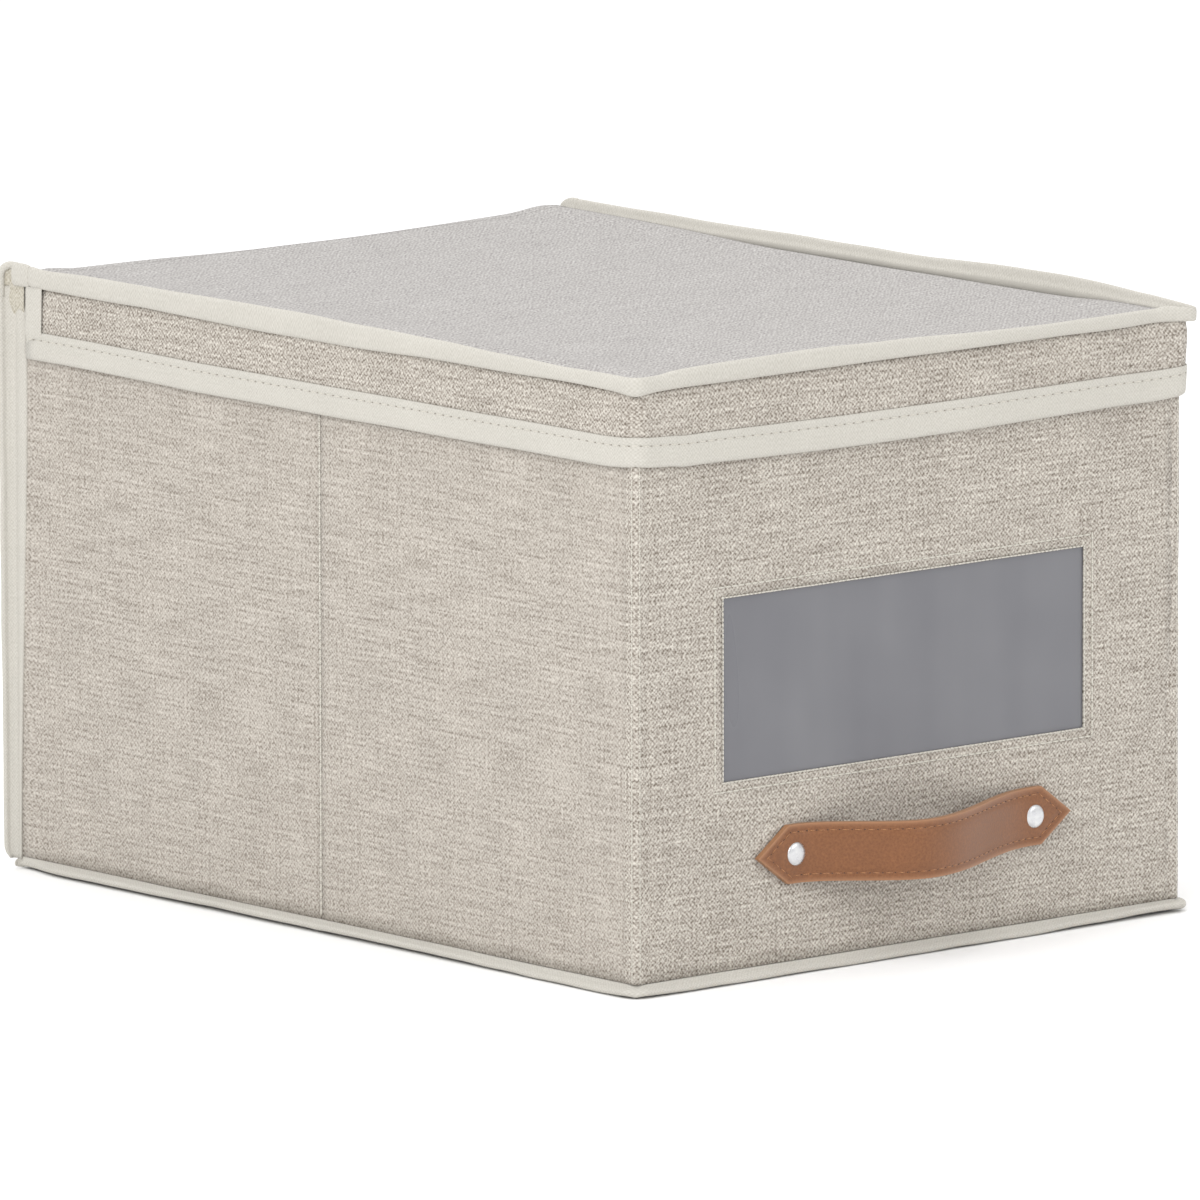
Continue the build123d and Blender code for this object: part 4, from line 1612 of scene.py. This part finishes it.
def flat_strap():
    """The flat strap, pointed at both ends, with its thickness and its rim rounded."""
    hide = bmesh.new()
    bmesh.ops.create_grid(hide, x_segments=150, y_segments=24, size=0.5)
    bmesh.ops.scale(hide, verts=hide.verts, vec=(2 * STRAP_HALF, 2 * STRAP_TALL, 1.0))
    for end in (-1, 1):
        for edge in (-1, 1):
            everything = hide.verts[:] + hide.edges[:] + hide.faces[:]
            bmesh.ops.bisect_plane(
                hide, geom=everything, dist=SAME_PLACE, plane_co=(end * STRAP_HALF, 0, 0),
                plane_no=(end * STRAP_TALL, edge * STRAP_POINT, 0), clear_outer=True,
            )
    stand_up = Matrix.Rotation(math.pi / 2, 3, "X")
    bmesh.ops.rotate(hide, verts=hide.verts, cent=(0, 0, 0), matrix=stand_up)
    bmesh.ops.remove_doubles(hide, verts=hide.verts, dist=CUT_WELD)
    grown = bmesh.ops.extrude_face_region(hide, geom=hide.faces[:])["geom"]
    front = [g for g in grown if isinstance(g, bmesh.types.BMVert)]
    bmesh.ops.translate(hide, verts=front, vec=(0, STRAP_THICK, 0))
    bmesh.ops.recalc_face_normals(hide, faces=hide.faces)
    rim_edges = [
        e for e in hide.edges
        if len(e.link_faces) == 2 and e.link_faces[0].normal.angle(e.link_faces[1].normal) > 1.0
        and abs(e.verts[0].co.y - e.verts[1].co.y) < SAME_PLACE
    ]
    round_edges(hide, rim_edges, 0.75 * MM, 3, clamp_overlap=True)
    bmesh.ops.recalc_face_normals(hide, faces=hide.faces)
    return hide


def strap():
    """The strap, with its rim and groove, bent to its place on the front wall."""
    hide = flat_strap()
    rim = hide.verts.layers.float.new("rim")
    for vert in hide.verts:
        gap = rim_gap(vert.co.x, vert.co.z)
        vert[rim] = clamp(1.15 - gap / (1.3 * MM))
        if vert.co.y > STRAP_THICK * 0.9:
            groove = GROOVE_DEEP * bell(gap, STITCH_INSET, 0.75 * MM)
            crown = 0.30 * MM * clamp((gap - STITCH_INSET) / (4 * MM))
            vert.co.y += crown - groove
        vert.co = bend_strap(vert.co)
    nodes = ["handle_strap", "handle_backing"]
    made = make_piece("handle_strap_hide", hide, leather, "front_wall", nodes)
    print("strap:", len(made.data.polygons), "faces")


strap()

# %% [markdown]
# ## Stitches
#
# A stitch is a short bead of thread that dips into the cloth at both ends. One is made as a small
# stretched ball of a few dozen faces, and rows of them follow a line measured out at equal steps. The
# same beads, shorter and darker, are painted shade: dark dots for the shade in the needle's holes
# between the stitches of the hem and on the strap.

# %% Rows of stitches
def walk(line, step):
    """Places and directions at equal steps along a line of points."""
    places = []
    carried = 0.0
    for start, end in zip(line, line[1:]):
        part = (end - start).length
        while carried <= part and part > 0:
            places.append((start.lerp(end, carried / part), (end - start).normalized()))
            carried += step
        carried -= part
    return places


def bead(rows, place, direction, outward, long, thick):
    """One stitch: a small ball stretched along its row."""
    side = direction.cross(outward).normalized()
    up = side.cross(direction).normalized()
    turn = Matrix((direction, side, up)).transposed().to_4x4()
    size = Matrix.Diagonal((long / 2, thick / 2, thick / 2, 1.0))
    bmesh.ops.create_uvsphere(
        rows, u_segments=6, v_segments=4, radius=1.0, matrix=Matrix.Translation(place) @ turn @ size
    )


def sew(name, lines, outward, body, material, pitch, long, thick):
    """Rows of stitches along lines; outward is a direction, or says one for a place."""
    rows = bmesh.new()
    count = 0
    for line in lines:
        for place, direction in walk(line, pitch):
            out = outward(place) if callable(outward) else outward
            bead(rows, place, direction, out, long, thick)
            count += 1
    make_piece(name, rows, material, body)
    print(name, "has", count, "stitches")

# %% [markdown]
# The hem's row follows the tape round all three sides. Its line is walked along the same moves as the
# tape and pushed in the same way. The dark dots of painted shade for the needle's holes start half a
# stitch further on.

# %% Stitches of the hem tape, and the painted shade of the needle holes between them
HEM_PITCH = 5.0 * MM


def hem_line():
    """The line that the hem's stitches follow, on the tape's own shape."""
    out = HEM_OUT + 0.30 * MM
    rear = SKIRT_REAR - 2 * MM
    point = Vector((-(HALF_WIDTH + out), rear, HEM_TOP - 3.4 * MM))
    line = [point.copy()]
    for kind, where, *rest in round_the_lid(out, SKIRT_CORNER + 0.7 * MM, rear):
        angle, steps = rest if kind == "turn" else (0.0, rest[0])
        for _ in range(steps):
            if kind == "go":
                point = point + Vector(where) / steps
            else:
                centre = Vector((where[0], where[1], point.z))
                point = centre + Matrix.Rotation(angle / steps, 3, "Z") @ (point - centre)
            line.append(point.copy())
    return [p + hang(p) for p in line]


stitch_line = hem_line()
sew("hem_stitches", [stitch_line], outwards, "lid", cream_thread,
    HEM_PITCH, 3.9 * MM, 0.6 * MM)
# The dots between the stitches are dark beads of painted shade for the needle holes.
first, second = stitch_line[:2]
half_way = min(1.0, HEM_PITCH / 2 / (second - first).length)
hole_line = [first.lerp(second, half_way), *stitch_line[1:]]
sew("hem_needle_hole_shades", [hole_line], outwards, "lid", hem_shadow,
    HEM_PITCH, 1.2 * MM, 0.7 * MM)

# %% [markdown]
# The window has one row of stitches a few millimetres out from its edge and a fine row right on the
# edge, where the cloth is turned under. Corners and creases have upright rows, each on the cloth that
# it is sewn to, so that it moves with it.

# %% Stitches round the window, and the pale lines down corners and creases
def frame_line(inset):
    """A line round the window, at a distance from its edge."""
    left, right = WINDOW_LEFT - inset, WINDOW_RIGHT + inset
    foot, head = WINDOW_FOOT - inset * 0.85, WINDOW_HEAD + inset
    corners = [(left, head), (right, head), (right, foot), (left, foot), (left, head)]
    line = fill_in([Vector((x, -HALF_DEPTH, z)) for x, z in corners], 4 * MM)
    return [p + Vector((0, -front_puff(p) - 0.22 * MM, 0)) for p in line]


FORWARD = Vector((0, -1, 0))
sew("window_stitches", [frame_line(4.8 * MM)], FORWARD, "front_wall", cream_thread,
    3.6 * MM, 3.7 * MM, 0.85 * MM)
sew("window_edge_stitches", [frame_line(0.45 * MM)], FORWARD, "front_wall", cream_thread,
    2.2 * MM, 2.5 * MM, 0.75 * MM)


def corner_rows(side):
    """Two upright rows of fine stitches, one each side of a front corner."""
    x = side * (HALF_WIDTH + 0.62 * MM)
    y = -HALF_DEPTH - 0.62 * MM
    rows = []
    for px, py in ((x, y + CORNER_ROUND), (x - side * CORNER_ROUND, y)):
        line = fill_in([Vector((px, py, WALL_LOW + 2 * MM)), Vector((px, py, WALL_TOP - 4 * MM))], 3 * MM)
        rows.append([p + corner_bulge(p, side) for p in line])
    return rows


for side in (-1, 1):
    name = word(side)
    sideways = Vector((side, 0, 0))
    side_row, front_row = corner_rows(side)
    body = "left_front" if side < 0 else "front_wall"
    sew(f"corner_stitches_{name}_side", [side_row], sideways, body, cream_thread,
        3.2 * MM, 3.4 * MM, 0.55 * MM)
    sew(f"corner_stitches_{name}_front", [front_row], FORWARD, "front_wall", cream_thread,
        3.2 * MM, 3.4 * MM, 0.55 * MM)
    ends = [
        Vector((side * (HALF_WIDTH - 0.05 * MM), -0.2 * MM, level))
        for level in (WALL_LOW + 3 * MM, WALL_TOP - 4 * MM)
    ]
    sew(f"crease_stitches_{name}", [fill_in(ends, 4 * MM)], sideways, f"{name}_front", cream_thread,
        3.4 * MM, 4.2 * MM, 0.95 * MM)

# %% [markdown]
# The strap's row runs round it inside its edge, with a cross row near each rivet. It is laid out on the
# flat strap and bent with it, so that every stitch lies in the groove.

# %% Stitches of the strap
CROSS_ROWS = (-59.0 * MM, 59.5 * MM)


def strap_lines():
    """The outline of the stitching, inset from the strap's edge, and the two cross rows, in the flat."""
    tall = STRAP_TALL - STITCH_INSET
    slant = math.hypot(STRAP_POINT, STRAP_TALL)
    tip = STRAP_HALF - STITCH_INSET * slant / STRAP_TALL
    shoulder = tip - tall * STRAP_POINT / STRAP_TALL
    rows = [[
        (-tip, 0), (-shoulder, tall), (shoulder, tall), (tip, 0), (shoulder, -tall), (-shoulder, -tall),
        (-tip, 0),
    ]]
    for x in CROSS_ROWS:
        rows.append([(x, tall), (x, -tall)])
    return rows


def strap_face(x, z, raise_by):
    """A place on the strap's face, from where it lies in the flat."""
    return bend_strap(Vector((x, STRAP_THICK - GROOVE_DEEP + raise_by, z)))


def strap_stitches():
    """The tan thread of the strap, and dark beads of painted shade for the needle holes between them."""
    threads, holes = bmesh.new(), bmesh.new()
    for row in strap_lines():
        flat = fill_in([Vector((x, 0, z)) for x, z in row], 3 * MM)
        for place, direction in walk(flat, 4.4 * MM):
            ahead = place + direction * MM
            here = strap_face(place.x, place.z, 0.12 * MM)
            heading = (strap_face(ahead.x, ahead.z, 0.12 * MM) - here).normalized()
            out = (strap_face(place.x, place.z, 1.0 * MM) - here).normalized()
            bead(threads, here, heading, out, 3.1 * MM, 0.42 * MM)
            # A dark bead in the gap between stitches: painted shade of the needle hole.
            gap = place - direction * 2.2 * MM
            hole = strap_face(gap.x, gap.z, 0.02 * MM)
            bead(holes, hole, heading, out, 0.8 * MM, 0.6 * MM)
    make_piece("strap_stitches", threads, tan_thread, "front_wall")
    make_piece("strap_needle_hole_shades", holes, hole_shadow, "front_wall")


strap_stitches()

# %% [markdown]
# ## The rivets
#
# Each rivet is a turned part, so its outline is drawn once from the middle out, a few vertices, and
# spun round its axis: a shallow domed cap with a rolled edge on the outside, and a washer with the
# rivet's end pressed flat on the inside.

# %% Rivets and washers
def spun(outline, centre, direction):
    """A turned part: outline is (distance from the axis, height) in mm, direction its axis."""
    part = bmesh.new()
    verts = [part.verts.new((away * MM, 0, height * MM)) for away, height in outline]
    edges = [part.edges.new(pair) for pair in zip(verts, verts[1:])]
    bmesh.ops.spin(part, geom=verts + edges, cent=(0, 0, 0), axis=(0, 0, 1), dvec=(0, 0, 0),
                   angle=2 * math.pi, steps=40, use_merge=True)
    bmesh.ops.remove_doubles(part, verts=part.verts, dist=SAME_PLACE)
    bmesh.ops.recalc_face_normals(part, faces=part.faces)
    turn = Vector((0, 0, 1)).rotation_difference(Vector(direction)).to_matrix().to_4x4()
    bmesh.ops.transform(part, matrix=Matrix.Translation(centre) @ turn, verts=part.verts)
    return part


def join(parts):
    """Several parts as one bmesh."""
    whole = parts[0]
    for part in parts[1:]:
        carrier = bpy.data.meshes.new("carrier")
        part.to_mesh(carrier)
        whole.from_mesh(carrier)
        part.free()
        bpy.data.meshes.remove(carrier)
    return whole


CAP = [
    (0.0, 1.25), (2.0, 1.22), (3.4, 1.08), (4.2, 0.82),
    (4.75, 0.45), (4.95, 0.1), (4.85, -0.1), (0.0, -0.1),
]
WASHER = [
    (0.0, 1.0), (1.2, 0.95), (1.8, 0.6), (2.2, 0.55), (4.4, 0.5), (4.9, 0.3), (5.0, 0.0), (0.0, 0.0),
]
cap_seat = -HALF_DEPTH - STRAP_OFF_WALL - STRAP_THICK - 0.1 * MM
washer_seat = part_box("rivet_washers")[0].y
caps = [spun(CAP, (x, cap_seat, STRAP_LEVEL), (0, -1, 0)) for x in (-BOW_FOOT, BOW_FOOT)]
washers = [spun(WASHER, (x, washer_seat, STRAP_LEVEL), (0, 1, 0)) for x in (-BOW_FOOT, BOW_FOOT)]
make_piece("rivet_caps", join(caps), nickel, "front_wall", ["rivets"])
make_piece("rivet_washer_discs", join(washers), nickel, "front_wall", ["rivet_washers"])
print("rivets:", len(caps), "caps and", len(washers), "washers")

# %% [markdown]
# ## Floor and light
#
# The bin stands in a white studio. Its floor is one plain pale face, far wider than the view, so that
# no edge shows.

# %% Floor
floor_shape = bmesh.new()
bmesh.ops.create_grid(floor_shape, x_segments=1, y_segments=1, size=40.0)
floor_mesh = bpy.data.meshes.new("studio_floor")
floor_shape.to_mesh(floor_mesh)
floor_shape.free()
floor_material, floor_tree, floor_shader = start_material("studio_white", 0.9, Specular_IOR_Level=0.0)
floor_cloud = grainy(floor_tree, mesh_place(floor_tree), 3.0)
floor_tone = colour_steps(floor_tree, floor_cloud, [(0.0, (0.93, 0.93, 0.93)), (1.0, (0.95, 0.95, 0.95))])
floor_tree.links.new(floor_tone, floor_shader.inputs["Base Color"])
floor_mesh.materials.append(floor_material)
floor = bpy.data.objects.new("studio_floor", floor_mesh)
bpy.context.scene.collection.objects.link(floor)
print("floor:", floor.name)

# %% [markdown]
# The light is a bright even sky, one large soft lamp to the left of the camera, a weaker one to the
# right and one overhead, so that the two walls differ only a little and every fold has a soft dark line
# beneath it. Small lamps would throw hard shadows that an object on white doesn't have.

# %% Light
SKY_LEVEL = 0.95
world = bpy.data.worlds.new("studio_sky")
bpy.context.scene.world = world
world.use_nodes = True
world.node_tree.nodes["Background"].inputs["Color"].default_value = (1.0, 1.0, 1.0, 1.0)
world.node_tree.nodes["Background"].inputs["Strength"].default_value = SKY_LEVEL


def soft_lamp(name, place, size, power):
    """A square lamp that looks at the bin's middle."""
    lamp = bpy.data.lights.new(name, "AREA")
    lamp.shape = "SQUARE"
    lamp.size = size
    lamp.energy = power
    made = bpy.data.objects.new(name, lamp)
    bpy.context.scene.collection.objects.link(made)
    made.location = place
    made.rotation_mode = "QUATERNION"
    made.rotation_quaternion = (WALLS_MIDDLE - Vector(place)).to_track_quat("-Z", "Y")


soft_lamp("key_lamp", (-2.6, -1.2, 2.2), 2.4, 60.0)
soft_lamp("fill_lamp", (1.0, -3.0, 1.6), 1.8, 16.0)
soft_lamp("top_lamp", (0.3, 0.6, 3.0), 2.0, 30.0)
bpy.context.scene.view_settings.view_transform = "Standard"
bpy.context.scene.view_settings.look = "None"
print("lamps:", [lamp.name for lamp in bpy.data.lights])
